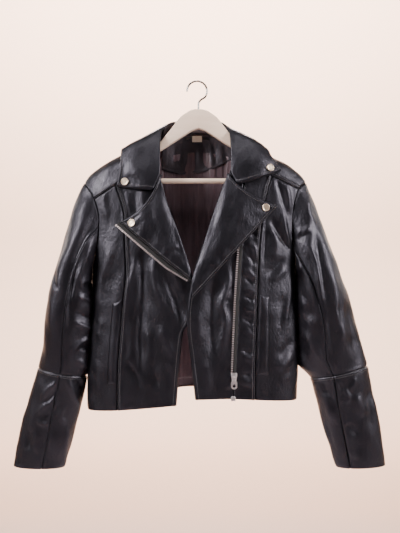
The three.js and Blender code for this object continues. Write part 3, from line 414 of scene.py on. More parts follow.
PUCKERS_STRIP_L = fold_table("""
97 -332  112 -339  117 -369 : 4 3.2 0
98 -355  109 -363  117 -380 : 4 -3 0
94 -380  104 -391  116 -404 : 4 3 0
94 -397  104 -407  116 -417 : 3.5 -3 0
92 -420  104 -424  116 -429 : 4 3 0
92 -437  104 -440  115 -448 : 3.5 -3 0
92 -462  104 -462  115 -470 : 5 2.6 0
90 -480  101 -484  113 -494 : 3.5 -3 0
91 -504  101 -507  113 -518 : 5 2.6 0
90 -535  98 -546  112 -550 : 3.5 -3 0
90 -560  101 -557  112 -568 : 5 2.6 0
88 -588  98 -591  112 -588 : 3.5 -2.8 0
88 -611  98 -605  112 -613 : 5 2.4 0
97 -285  108 -292  120 -300 : 4 2.6 0
97 -305  108 -312  119 -322 : 4 -2.6 0""")

# %% The folds of the sleeves
FOLDS_SLEEVE_R = fold_table("""
-224 -228  -234 -303  -266 -375  -280 -439  -289 -549 : 13 3.5 0
-199 -265  -224 -326  -241 -379  -249 -454  -256 -530 : 7 -4.5 0.2
-202 -318  -219 -364  -242 -424  -253 -492 : 4 2.6 0
-278 -386  -280 -409  -270 -428 : 4 -2.6 0
-207 -397  -225 -409  -225 -420  -207 -436 : 4 3 0
-202 -403  -217 -413  -217 -424  -203 -432 : 6 -5 0
-237 -443  -224 -439  -209 -449 : 4 2 0
-247 -486  -228 -496  -211 -511 : 4 3 0
-211 -515  -232 -528  -249 -549  -246 -575 : 4 3.2 0.2
-234 -462  -228 -477  -209 -481 : 7 -3 0
-232 -549  -220 -534  -211 -530 : 8 -3.2 0
-239 -560  -232 -575  -220 -579 : 5 2 0
-317 -649  -298 -624  -271 -604 : 5 3 -0.2
-323 -679  -307 -660  -270 -632 : 4.5 3 0
-306 -657  -290 -640  -271 -617 : 5 -3.4 0
-323 -683  -309 -696  -289 -689 : 4 2 0
-306 -685  -289 -670  -273 -651 : 5 -2.6 0
-261 -598  -247 -640  -231 -673 : 5 3.2 0.2
-245 -596  -232 -624  -225 -651 : 6 -2.5 0
-264 -657  -274 -679  -262 -698 : 3.5 2.4 0
-258 -700  -266 -734  -270 -764 : 6 2 0
-323 -708  -326 -734  -317 -757 : 6 2.4 0
-336 -700  -338 -726  -345 -753 : 6 -1.8 0
-294 -700  -307 -726  -306 -753 : 5 -2 0""")
FOLDS_SLEEVE_L = fold_table("""
195 -324  205 -308  216 -307  226 -294 : 3.5 2.4 0
203 -330  212 -318  227 -311 : 5 -2.2 0
214 -326  232 -364  243 -424  248 -458 : 4 3 0.2
233 -288  241 -349  248 -409  251 -462 : 6 -3 0
263 -352  270 -409  275 -469  287 -515  283 -560 : 9 3.2 0
277 -443  283 -485  278 -530 : 5 -1.8 0
220 -235  226 -273  241 -296 : 7 2.2 0
256 -462  265 -507  269 -560 : 6 -2 0
297 -439  309 -500  316 -560 : 9 -2 0
207 -418  222 -458  229 -492 : 7 -3 0
199 -409  210 -439  218 -469 : 5 2.4 0
214 -500  233 -538  256 -575 : 7 2.4 0
203 -522  222 -560  241 -590 : 6 -2 0
188 -375  201 -375  209 -386 : 4 3 0
184 -383  195 -390  203 -409 : 6 -4 0
268 -594  278 -617  275 -632  283 -649 : 4 2.8 0
288 -620  304 -639  294 -653 : 4 2.8 0
280 -606  292 -628  286 -645 : 3.5 -3 0
309 -598  316 -609  304 -626 : 4 2.2 0
316 -632  328 -658  335 -685 : 9 2.4 0
343 -613  350 -670  356 -726 : 8 -2 0
301 -689  313 -708  328 -715 : 6 -2 0
301 -753  314 -757  326 -764 : 4 1.8 0
248 -624  263 -658  275 -696 : 7 2.4 0
260 -685  269 -719  280 -757 : 6 -2 0
241 -606  256 -617  260 -643 : 6 -2.2 0""")

# %% The folds of the back and of the backs of the sleeves
FOLDS_BACK = fold_table("""
-178 -250  -160 -330  -150 -420 : 12 3 0
-196 -300  -176 -370  -165 -450 : 9 -3 0.2
-95 -200  -60 -290  -48 -400 : 14 3 0
90 -210  62 -300  44 -390 : 14 2.6 0
178 -255  160 -340  148 -430 : 11 3 0
190 -310  172 -375  164 -470 : 9 -3 -0.2
-10 -180  4 -300  -4 -430  6 -600 : 16 -3 0
-110 -420  -96 -520  -104 -625 : 11 3.2 0
-76 -450  -66 -540  -72 -622 : 9 -3.2 0.2
96 -430  104 -530  98 -618 : 10 3 0
126 -480  132 -560  124 -622 : 8 -2.6 0
-190 -500  -184 -580  -190 -650 : 9 2.6 0
176 -480  172 -560  178 -630 : 9 2.4 0
-150 -225  -110 -214  -60 -222 : 6 -1.8 0
60 -226  108 -218  150 -232 : 6 -1.8 0""")
FOLDS_SLEEVE_BACK_R = fold_table("""
-222 -240  -236 -320  -262 -400  -276 -520 : 13 3.4 0
-208 -290  -228 -370  -246 -460 : 7 -3.6 0.2
-290 -470  -262 -490  -236 -512 : 5 3 0
-296 -492  -268 -508  -240 -534 : 5 -3 0
-300 -520  -270 -535  -240 -560 : 5 2.6 0
-212 -420  -232 -436  -250 -470 : 6 -3 0
-330 -640  -300 -630  -262 -650 : 5 2.6 0
-334 -664  -302 -650  -256 -672 : 5 -2.6 0
-322 -690  -316 -730  -322 -765 : 8 2.2 0
-290 -680  -296 -720  -300 -765 : 7 -2.2 0""")
FOLDS_SLEEVE_BACK_L = fold_table("""
220 -245  238 -330  262 -410  280 -520 : 13 3.2 0
206 -290  226 -370  244 -450 : 7 -3.4 -0.2
306 -480  276 -500  244 -516 : 5 3 0
312 -505  280 -522  248 -540 : 5 -3 0
318 -534  288 -548  256 -566 : 5 2.4 0
214 -430  232 -446  246 -480 : 6 -2.8 0
350 -640  318 -634  276 -648 : 5 2.6 0
354 -664  322 -656  280 -674 : 5 -2.4 0
338 -690  334 -730  340 -765 : 8 2.2 0
306 -690  312 -730  316 -765 : 7 -2.2 0""")
print("folds on the back:", len(FOLDS_BACK))

# %% [markdown]
# ## From a grid to a leather panel
#
# Each panel is a grid of points on its outer face. Near a seam the leather dives into the stitching, a
# row of topstitching presses a shallow trough, and between the two the cloth puckers. Columns lie
# closer together there, so that these small forms have enough points. The grid then gets a second face
# behind it and a rounded rim all round, which closes it into one thin shell with its normals outwards.

# %% Spacing of a grid
EDGE_STEPS = np.array([0, 0.6, 1.3, 2.2, 3.2, 4.6, 6.0, 7.4, 9.5])


def spaced(length, pitch=3.6):
    """Fractions of a length, closer together at both ends."""
    ends = EDGE_STEPS[EDGE_STEPS < length / 2.6]
    reach = ends[-1]
    count = max(int((length - 2 * reach) / pitch), 1)
    middle = np.linspace(reach, length - reach, count + 1)[1:-1]
    return np.concatenate([ends, middle, (length - ends)[::-1]]) / length


def run_along(points, axis):
    size = np.linalg.norm(np.diff(points, axis=axis), axis=-1)
    zero = np.zeros_like(np.take(size, [0], axis))
    return np.concatenate([zero, np.cumsum(size, axis)], axis)


def way_out(points, hint):
    down = np.gradient(points, axis=0)
    across = np.gradient(points, axis=1)
    out = unit(np.cross(down, across))
    return out if np.sum(out * hint) > 0 else -out

# %% Working the edges
EDGES = ("first", "last", "top", "foot")  # first and last column, first and last row
STITCH_ROWS = {"double": (1.7, 6.0), "edge": (2.6,), "folded": (7.0,), "lapel": (2.0, 6.4),
               "cuff": (1.7, 6.0)}
RAISED = {"double": 1.8, "edge": 1.3, "folded": 1.0, "lapel": 1.1, "cuff": 0.3}
SEAM_DEPTH, OPEN_DEPTH, TROUGH, PUCKER = 2.1, 0.5, 0.8, 0.35
stitch_lines = []


def sewn(words):
    """What is done to each of the four edges, - for nothing."""
    return {edge: word for edge, word in zip(EDGES, words.split()) if word != "-"}


def edge_work(away, along, kind, phase):
    """How an edge changes the height of the cloth at a distance from it."""
    if kind == "open":
        return -OPEN_DEPTH * np.exp(-(away / 1.0) ** 2)
    height = -SEAM_DEPTH * np.exp(-(away / 1.5) ** 2)
    if kind == "seam":
        return height
    rows = STITCH_ROWS[kind]
    plateau = smoothstep(away, 0.6, 2.2) * (1 - smoothstep(away, rows[-1] + 0.4, rows[-1] + 2.4))
    height = height + RAISED[kind] * plateau
    for row in rows:
        height = height - TROUGH * np.exp(-((away - row) / 0.9) ** 2)
    waves = np.sin(along / 2.3 + phase + 1.3 * np.sin(along / 17 + phase))
    waves = waves * (0.6 + 0.4 * np.sin(along / 31 + 2 * phase))
    return height + PUCKER * waves * np.exp(-((away - rows[-1] - 2) / 4.5) ** 2)


def row_at(points, out, away, distance, axis):
    """The line on a grid that runs at a distance from its edge."""
    if axis == 0:
        points, out, away = (np.swapaxes(a, 0, 1) for a in (points, out, away))
    line, ways = [], []
    for p, o, d in zip(points, out, away):
        order = np.argsort(d)
        line.append([np.interp(distance, d[order], p[order, k]) for k in range(3)])
        ways.append([np.interp(distance, d[order], o[order, k]) for k in range(3)])
    return np.array(line), unit(np.array(ways))


def worked(points, out, folds_height, edges, seed):
    """A panel's outer face with its folds, slow unevenness and worked edges."""
    across, down = run_along(points, 1), run_along(points, 0)
    aways = {"first": across, "last": across[:, -1:] - across, "top": down, "foot": down[-1:] - down}
    height = folds_height + 0.55 * unevenness(points, 5, 55, 120) + 0.22 * unevenness(points, 9, 19, 34)
    nearest = np.minimum.reduce(list(aways.values()))
    height = height * smoothstep(nearest, -2, 9)
    for number, (edge, kind) in enumerate(edges.items()):
        along = down if edge in ("first", "last") else across
        height = height + edge_work(aways[edge], along, kind, seed + number)
    face = points + out * height[..., None]
    ways = way_out(face, out)
    for edge, kind in edges.items():
        for row in STITCH_ROWS.get(kind, ()):
            line, up = row_at(face, ways, aways[edge], row, 1 if edge in ("first", "last") else 0)
            stitch_lines.append((line[1:-1], up[1:-1]))
    return face, ways, height

# %% Closing a grid into a shell
def shell_mesh(name, face, ways, wall, fold_light=None):
    """A closed thin shell behind an outer face, with a rounded rim."""
    rows, columns = face.shape[:2]
    back = face - ways * wall
    ring = [(0, j) for j in range(columns)] + [(i, columns - 1) for i in range(1, rows)]
    ring += [(rows - 1, j) for j in range(columns - 2, -1, -1)] + [(i, 0) for i in range(rows - 2, 0, -1)]
    inner = [(min(max(i, 1), rows - 2), min(max(j, 1), columns - 2)) for i, j in ring]
    rim = []
    for (i, j), (a, b) in zip(ring, inner):
        away = face[i, j] - face[a, b]
        away = unit(away - ways[i, j] * np.dot(away, ways[i, j]))
        rim.append((face[i, j] + back[i, j]) / 2 + away * wall * 0.35)
    points = np.concatenate([face.reshape(-1, 3), back.reshape(-1, 3), np.array(rim)]) * MM
    count = rows * columns
    i, j = np.meshgrid(np.arange(rows - 1), np.arange(columns - 1), indexing="ij")
    a, b, c, d = (q.ravel() for q in (i * columns + j, (i + 1) * columns + j,
                                      (i + 1) * columns + j + 1, i * columns + j + 1))
    front = np.stack([a, b, c, d], 1)
    middle = (rows // 2, columns // 2)
    here, below, beside = face[middle], face[middle[0] + 1, middle[1]], face[middle[0], middle[1] + 1]
    turn = np.cross(below - here, beside - here)
    outwards = np.dot(turn, ways[middle]) > 0
    if not outwards:
        front = front[:, ::-1]
    behind = front[:, ::-1] + count
    ids = np.array([r * columns + c for r, c in ring])
    n = len(ring)
    after = (np.arange(n) + 1) % n
    rim_id = 2 * count + np.arange(n)
    sides = np.concatenate([np.stack([ids, ids[after], rim_id[after], rim_id], 1),
                            np.stack([rim_id, rim_id[after], ids[after] + count, ids + count], 1)])
    if not outwards:
        sides = sides[:, ::-1]
    made = mesh_object(name, points, np.concatenate([front, behind, sides]))
    mesh = made.data
    smooth_faces(mesh)
    mesh.polygons.foreach_set("material_index", [0] * len(front) + [1] * len(behind) + [0] * len(sides))
    # The fold height of the outer face is stored for the leather's colour: painted highlight on ridges,
    # painted shade in troughs.
    painted_fold_shading = np.zeros(len(points), dtype=np.float32)
    if fold_light is not None:
        painted_fold_shading[:count] = np.clip(fold_light.ravel(), -1, 1)
    mesh.attributes.new("fold_light", "FLOAT", "POINT").data.foreach_set("value", painted_fold_shading)
    return made

# %% [markdown]
# ## Finishes
#
# Leather-look cloth is a black coating with a pebbled grain pressed in, cells a little over a
# millimetre across, over a fabric that creeps into soft dents. The grain and the dents are bump and the
# gloss wanders with a slow noise. The colour is painted a little paler on the ridges of the folds, a
# painted highlight, and a little darker in their troughs, a painted shade. The lining is a dark satin
# with faint upright wrinkles, painted darker in their troughs and paler on their crests as shade and
# highlight. All patterns read Object coordinates, so they stay put on a piece.

# %% Noise, bump and one pattern for colour and height
class Patterned(Finish):
    def noise(self, scale, detail=3.0, stretch=(1, 1, 1)):
        mapping = self.add("Mapping", Vector=self.place, Scale=stretch)
        made = self.add("TexNoise", Vector=mapping.outputs["Vector"], Scale=scale, Detail=detail)
        return made.outputs["Fac"]

    def bumped(self, height, distance, strength, **before):
        made = self.add("Bump", Height=height, Distance=distance, Strength=strength, **before)
        return made.outputs["Normal"]

    def dress(self, pattern, dark, light, bump, **sockets):
        """Mixes two colours and raises the surface by one pattern."""
        self.set(Base_Color=self.mixed(pattern, dark, light), Normal=self.bumped(pattern, *bump), **sockets)
        return self.material

# %% Leather
def leather(name, dark, light, gloss):
    made = Patterned(name, dark, 0.4)
    wander = made.add("TexNoise", Vector=made.place, Scale=300)
    shift = made.add("VectorMath")
    shift.operation = "MULTIPLY_ADD"
    made.tree.links.new(wander.outputs["Color"], shift.inputs[0])
    shift.inputs[1].default_value = (0.0012, 0.0012, 0.0012)
    made.tree.links.new(made.place, shift.inputs[2])
    grain = made.add("TexVoronoi", Vector=shift.outputs["Vector"], Scale=720)
    grain.feature = "DISTANCE_TO_EDGE"
    # The stored fold height paints the colour: paler on ridges as a painted highlight, darker in troughs as
    # painted shade.
    fold_light = made.add("Attribute")
    fold_light.attribute_name = "fold_light"
    painted_fold_shading = made.between(fold_light.outputs["Fac"], 0, 1, -0.2, 1.0)
    made.set(Base_Color=made.mixed(painted_fold_shading, dark, light), Roughness=made.between(made.noise(34, 5), *gloss))
    dents = made.bumped(made.noise(230, 2, (1, 1, 0.7)), 0.0022, 0.32)
    cells = made.between(grain.outputs["Distance"], 0, 1, 0.0, 0.25)
    made.set(Normal=made.bumped(cells, 0.0004, 0.16, Normal=dents), Specular_IOR_Level=0.5,
             Specular_Tint=(0.86, 0.82, 1, 1), Coat_Weight=0.06, Coat_Roughness=0.25)
    return made.material


LEATHER = leather("black_leather", (0.0014, 0.0012, 0.0018), (0.005, 0.0042, 0.0058), (0.36, 0.50))
TRIM_LEATHER = leather("trim_leather", (0.035, 0.03, 0.035), (0.07, 0.06, 0.068), (0.32, 0.44))

# %% Lining, thread and tape
lining = Patterned("satin_lining", (0.03, 0.017, 0.021), 0.42)
wrinkle_height_and_shade = lining.noise(26, 5, (3.2, 1, 0.35))
# The colour follows the wrinkles: darker in their troughs and paler on their crests, a painted shade and
# highlight.
lining.set(
    Base_Color=lining.mixed(lining.between(wrinkle_height_and_shade, 0, 1), (0.08, 0.05, 0.062), (0.16, 0.105, 0.125)),
    Normal=lining.bumped(wrinkle_height_and_shade, 0.012, 0.5), Roughness=lining.between(lining.noise(900, 2), 0.36, 0.5),
    Sheen_Weight=0.25, Sheen_Roughness=0.4)
LINING = lining.material

thread = Patterned("black_thread", (0.02, 0.018, 0.02), 0.5)
twist = thread.add("TexWave", Vector=thread.place, Scale=900).outputs["Fac"]
THREAD = thread.dress(twist, (0.07, 0.065, 0.07), (0.24, 0.225, 0.235), (0.0002, 0.4))

tape = Patterned("zip_tape", (0.011, 0.010, 0.011), 0.8)
weave = tape.add("TexChecker", Vector=tape.place, Scale=1400).outputs["Fac"]
TAPE = tape.dress(weave, (0.008, 0.007, 0.008), (0.022, 0.02, 0.021), (0.0003, 0.5))

label = Patterned("label_cloth", (0.66, 0.59, 0.5), 0.75)
ribs = label.noise(700, 2, (0.3, 1, 3))
LABEL_CLOTH = label.dress(ribs, (0.74, 0.65, 0.53), (0.9, 0.82, 0.7), (0.0003, 0.4))

# %% Metals, painted wood and wire
def metal(name, color, rough, scratch=0.12):
    made = Patterned(name, color, rough[0], 1.0)
    marks = made.noise(420, 4, (1, 1, 0.25))
    darker = tuple(c * 0.82 for c in color)
    return made.dress(marks, darker, color, (0.0003, scratch), Roughness=made.between(marks, *rough))


ZIP_METAL = metal("zip_metal", (0.97, 0.83, 0.84), (0.4, 0.54))
SLIDER_METAL = metal("slider_metal", (0.98, 0.9, 0.92), (0.3, 0.46))
STUD_METAL = metal("stud_metal", (0.97, 0.78, 0.6), (0.3, 0.44), 0.18)
WIRE = metal("hook_wire", (0.40, 0.39, 0.385), (0.22, 0.36))

wood = Patterned("painted_wood", (0.84, 0.66, 0.54), 0.42)
fibres = wood.noise(42, 6, (0.35, 3, 3))
wood.set(Base_Color=wood.mixed(wood.between(fibres, 0, 1), (0.93, 0.70, 0.55), (0.98, 0.76, 0.61)),
         Roughness=wood.between(fibres, 0.36, 0.5), Normal=wood.bumped(fibres, 0.0008, 0.25),
         Coat_Weight=0.15)
WOOD = wood.material
print("finishes:", len(bpy.data.materials))

# %% [markdown]
# ## The body panels
#
# A biker front is cut in a yoke, a centre panel and a side panel, and the left one has a narrow strip
# beside its zip, gathered by its stitching. Each panel is read from the seam tables between its two
# seams, so its neighbours meet it to a hair, and each is one sheet of cloth, for which the flat cut is
# stated.


def flat_cut(face):
    """Width, length and area of a panel laid flat, in metres."""
    width = np.max(run_along(face, 1)[:, -1])
    length = np.max(run_along(face, 0)[-1])
    quads = np.cross(face[1:, 1:] - face[:-1, :-1], face[1:, :-1] - face[:-1, 1:])
    area = np.sum(np.linalg.norm(quads, axis=-1)) / 2
    return width * MM, length * MM, min(area * MM**2, width * length * MM**2)


def leather_sheet(name, face, ways, height, wall=WALL, slot="leather", outside=LEATHER, inside=LINING,
                  held="hung", rests_on=("hanger_arms",)):
    """One sheet or tape of cloth in place of the solid that has its name."""
    # A quarter of the fold height goes to the shell as painted light: paler ridges, darker troughs.
    made = shell_mesh(name + "_cloth", face, ways, wall, None if height is None else height / 4)
    made.data.materials.append(outside)
    made.data.materials.append(inside)
    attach(made, "jacket")
    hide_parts(name)
    width, length, area = flat_cut(face)
    if width < 0.01 or length < 0.01:  # a tape, not a sheet
        print(f"{name}: tape of {length * 1000:.0f} x {width * 1000:.0f} mm")
        return made
    print(f"{name}: {len(made.data.polygons)} faces, cut {width * 1000:.0f} x {length * 1000:.0f} mm")
    return made

# %% Rows and seams of the fronts
def armhole_part(row):
    return (1 - np.cos(math.pi * row / ARMHOLE_ROWS)) / 2


def edge_z(side, row):
    top, armpit = ARMHOLE[side][0][0], ARMHOLE[side][-1][0]
    upper = top + (armpit - top) * armhole_part(np.minimum(row, ARMHOLE_ROWS))
    lower = armpit + (SIDE_HEM[side] - armpit) * (row - ARMHOLE_ROWS) / (LAST_ROW - ARMHOLE_ROWS)
    return np.where(row <= ARMHOLE_ROWS, upper, lower)


def edge_x(side, row):
    z = edge_z(side, row)
    return np.where(row <= ARMHOLE_ROWS, armhole_x[side](z), body["right" if side == "r" else "left"](z))


def yoke_z(side, x):
    row, neck_z = YOKE[side]
    neck_x = seam_x[side]["opening"](neck_z)
    part = (x - neck_x) / (edge_x(side, np.array(row)) - neck_x)
    return neck_z + (edge_z(side, np.array(row)) - neck_z) * part


def yoke_meets(side, name):
    z = np.array(float(YOKE[side][1]))
    for _ in range(12):
        z = yoke_z(side, seam_x[side][name](z))
    return z


def seam_points(side, name, rows):
    if name == "side":
        return edge_x(side, rows), edge_z(side, rows)
    top, hem = edge_z(side, np.array(YOKE[side][0])), edge_z(side, np.array(LAST_ROW))
    part = (edge_z(side, rows) - top) / (hem - top)
    start = yoke_meets(side, name)
    z = start + (SEAMS[side][name][-1][0] - start) * part
    return seam_x[side][name](z), z


def between_seams(side, start, stop, rows, part):
    """The grid x, z at parts of the way from one seam to another."""
    (ax, az), (bx, bz) = seam_points(side, start, rows), seam_points(side, stop, rows)
    return ax[:, None] + (bx - ax)[:, None] * part, az[:, None] + (bz - az)[:, None] * part


def laid(folds, x, z):
    """The folds of the body, which fade at its side edges."""
    return relief(folds, x, z) * np.clip(side_fade(x, z) * 1.6, 0, 1)

# %% Front panels
FRONT_LENGTH = 465
FRONT_FOLDS = {"r": FOLDS_FRONT_R, "l": FOLDS_FRONT_L}


def front_panel(side, start, stop, width, folds, edges, seed):
    first_row = YOKE[side][0]
    rows = first_row + spaced(FRONT_LENGTH) * (LAST_ROW - first_row)
    part = spaced(width)
    if stop == "side":  # columns lie closer together where the surface turns to the side
        part = np.sin(math.pi / 2 * np.concatenate([part[part < 0.9], np.linspace(0.9, 1, 9)]))
    x, z = between_seams(side, start, stop, rows, part)
    points, out = cloth(f"front_{side}", x, z)
    return worked(points, out, laid(folds, x, z), sewn(edges), seed)


for seed, (name, start, stop, width, folds, edges) in enumerate((
        ("centre_r", "opening", "princess", 120, FOLDS_FRONT_R, "folded double seam open"),
        ("side_r", "princess", "side", 75, FOLDS_FRONT_R, "seam seam seam open"),
        ("centre_l", "opening", "zip", 85, FOLDS_FRONT_L, "folded seam seam open"),
        ("strip_l", "zip", "princess", 40, PUCKERS_STRIP_L, "edge double seam open"),
        ("side_l", "princess", "side", 90, FOLDS_FRONT_L, "seam seam seam open")), 1):
    panel = front_panel(name[-1], start, stop, width, folds, edges, seed)
    leather_sheet(f"front_{name}", *panel)

# %% Yokes
def yoke(side, seed):
    row_count, neck_z = YOKE[side]
    opening = seam_x[side]["opening"]
    down, part = spaced(110), spaced(140)
    ease = down**1.6
    top_z = SEAMS[side]["opening"][0][0]
    neck_x = opening(top_z + (neck_z - top_z) * ease)
    outer_x = edge_x(side, row_count * down**1.25)
    x = neck_x[:, None] + (outer_x - neck_x)[:, None] * part
    z = shoulder_z(x) + (yoke_z(side, x) - shoulder_z(x)) * ease[:, None]
    points, out = cloth(f"front_{side}", x, z)
    mirror = -1 if side == "r" else 1
    fold = relief([([(mirror * 120, -160), (mirror * 170, -178), (mirror * 200, -196)], 12, 1.6, 0)], x, z)
    return worked(points, out, fold, sewn("open seam seam double"), seed)


for number, side in enumerate("rl"):
    leather_sheet(f"front_yoke_{side}", *yoke(side, 6 + number))

# %% [markdown]
# ## The back
#
# The back is one piece from side seam to side seam, with the neck scooped out of its top. Inside it a
# leather facing goes round the neck, gathered into upright wrinkles, and the satin lining hangs below.
# Both are the back's own surface moved in, so nothing can poke through.

# %% Back panel
SHOULDER_COLUMNS, NECK_COLUMNS = 7, 8
BACK_LAST = 2 * SHOULDER_COLUMNS + NECK_COLUMNS


def neck_seam_z(x):
    return BACK_NECK_Z + (shoulder_z(NECK_HALF) - BACK_NECK_Z) * (x / NECK_HALF) ** 2


def back_x(row, column):
    from_edge = np.minimum(column, BACK_LAST - column)
    side = np.where(column < BACK_LAST / 2, -1, 1)
    neck = -NECK_HALF + 2 * NECK_HALF * (column - SHOULDER_COLUMNS) / NECK_COLUMNS
    part = np.sin(math.pi / 2 * (1 - np.minimum(from_edge / SHOULDER_COLUMNS, 1)))
    edge = np.where(side < 0, edge_x("r", row), edge_x("l", row))
    return np.where(from_edge >= SHOULDER_COLUMNS, neck, side * NECK_HALF + (edge - side * NECK_HALF) * part)


def back_points(rows, columns, lift=0.0):
    row, column = np.meshgrid(rows, columns, indexing="ij")
    x = back_x(row, column)
    top_x = back_x(0 * row, column)
    top_z = np.where(np.abs(top_x) <= NECK_HALF, neck_seam_z(top_x), shoulder_z(top_x))
    across = column / BACK_LAST
    pit_r, pit_l = edge_z("r", np.array(ARMHOLE_ROWS)), edge_z("l", np.array(ARMHOLE_ROWS))
    armpit = pit_r + (pit_l - pit_r) * across
    upper = top_z + (armpit - top_z) * armhole_part(np.minimum(row, ARMHOLE_ROWS))
    lower = armpit + (back_hem_z(x) - armpit) * (row - ARMHOLE_ROWS) / (LAST_ROW - ARMHOLE_ROWS)
    z = np.where(row <= ARMHOLE_ROWS, upper, lower)
    points, out = cloth("back", x, z, lift)
    return points, out, x, z


upper_rows = np.arccos(1 - 2 * spaced(180, 4.2)) / math.pi * ARMHOLE_ROWS
lower_rows = ARMHOLE_ROWS + np.linspace(0, 1, 66)[1:-6] * 11
last_rows = LAST_ROW - (np.array([9, 6, 4, 2.4, 1.2, 0.5, 0]) / 280 * 11)
rows = np.concatenate([upper_rows[upper_rows < 9.6], [9.8, 10],
                       lower_rows[lower_rows < last_rows[0]], last_rows])
shoulder_part = np.concatenate([[0, 0.06, 0.14, 0.25, 0.4, 0.6, 0.8], np.linspace(1, SHOULDER_COLUMNS, 34)])
neck_part = np.linspace(SHOULDER_COLUMNS, SHOULDER_COLUMNS + NECK_COLUMNS, 42)[1:-1]
columns = np.concatenate([shoulder_part, neck_part, (BACK_LAST - shoulder_part)[::-1]])
points, out, x, z = back_points(rows, columns)
leather_sheet("back_panel", *worked(points, out, laid(FOLDS_BACK, x, z), sewn("seam seam seam folded"), 10))

# %% Facing and lining
LAY = 0.6
INSIDE = -(2 + LAY)
FACING_WALL, FACING_GAP = 1.0, 1.6
LINING_WALL, LINING_GAP = 0.7, 1.2


def upright(rows, heights, leans):
    """Upright wrinkles: each starts at an x and leans aside on its way down."""
    return [([(x + k * lean, z) for z, k in zip(heights, leans)], width, out, 0)
            for x, lean, width, out in rows]


def back_folds(x, z, deeper):
    """The troughs of the back, which whatever lies inside it has to follow."""
    return deeper * np.minimum(relief(FOLDS_BACK, x, z), 0)


FACING_FOLDS = upright([
    (-62, -3, 6, -2.2), (-46, -2, 5, 2.0), (-30, 2, 6, -2.0), (-12, -1, 5, 2.2), (2, 2, 5, -2.4),
    (14, 2, 4, 2.4), (26, 4, 5, -2.6), (36, 2, 4, 2.2), (46, 5, 5, -2.4), (58, 4, 5, 2.0)],
    (-112, -140, -172), (0, 1, 1.6))
x = np.linspace(-74, 74, 84)[None, :] * np.ones((40, 1))
down = np.linspace(0, 1, 40)[:, None]
facing_top = neck_seam_z(x) - 2.5
facing_foot = -182 + 0.157 * x + 0.00356 * x**2
z = facing_top + (facing_foot - facing_top) * down
points, out = cloth("back", x, z, INSIDE - FACING_GAP)
height = np.minimum(0.6 * relief(FACING_FOLDS, x, z) + 0.5 * unevenness(points, 21, 26, 90), 1.3)
height = height + back_folds(x, z, deeper=1.1)
height = height - 1.2 * np.exp(-((down - 0.955) / 0.02) ** 2)
face = points + out * height[..., None]
leather_sheet("back_neck_facing", face, way_out(face, out), height, FACING_WALL,
              inside=TRIM_LEATHER, outside=TRIM_LEATHER, rests_on=["back_panel"])

LINING_FOLDS = upright([
    (-120, -6, 12, -2.4), (-84, -4, 9, 2.2), (-50, 3, 8, -2.2), (-26, -2, 7, 2.2), (-4, 2, 7, -2.6),
    (18, 3, 8, 2.4), (44, 5, 9, -2.4), (78, 3, 10, 2.2), (112, 6, 12, -2.4)], (-190, -330, -600), (0, 1, 2))
points, out, x, z = back_points(np.linspace(2.4, 20.2, 120), np.linspace(3.6, BACK_LAST - 3.6, 110),
                                INSIDE - LINING_GAP)
height = relief(LINING_FOLDS, x, z) + 0.7 * unevenness(points, 23, 26, 90)
height = np.minimum(height, LINING_GAP * 0.8) + back_folds(x, z, deeper=1.25)
leather_sheet("back_lining", points + out * height[..., None], way_out(points, out), None, LINING_WALL,
              "lining", LINING, LINING, rests_on=["back_panel"])

# %% [markdown]
# ## Pocket welts
#
# The pockets are upright slits beside the princess seam. A folded strip, the welt, covers the slit and
# is stitched down at both ends, so it stands a little off the panel along its open edge.

# %% Welts
WELT_ROWS, WELT_START, WELT_LIFT = (12.9, 19.1), 0.03, LAY + 2.7


def welt(side, far, seed):
    """A strip on the side panel, from part to part of the panel's width."""
    first, last = WELT_ROWS
    rows = first + spaced(155) * (last - first)
    over = spaced(26, 3.0)
    part = WELT_START + over * (far - WELT_START)
    x, z = between_seams(side, "princess", "side", rows, part)
    points, out = cloth(f"front_{side}", x, z)
    open_edge = smoothstep((part - WELT_START) / (far - WELT_START), 0.3, 1)[None, :]
    open_edge = open_edge * np.sin(np.linspace(0, math.pi, len(rows)))[:, None]
    fold = relief(FRONT_FOLDS[side], x, z) + WELT_LIFT + 1.2 * open_edge
    return worked(points, out, fold, sewn("seam seam seam seam"), seed)


for number, (side, far) in enumerate((("r", 0.34), ("l", 0.30))):
    face, ways, height = welt(side, far, 12 + number)
    leather_sheet(f"pocket_welt_{side}", face, ways, height - 2.8, 1.2, inside=LEATHER,
                  rests_on=[f"front_side_{side}"])

# %% [markdown]
# ## Sleeves
#
# A jacket sleeve is two pieces, an outer and an under sleeve, cut across at the forearm. Each ring of
# the sleeve is a tilted flattened ellipse, and the first rings are drawn to the armhole's own outline.
# The seams run from the armhole down to the open end, and every crease is laid as it is on the body.

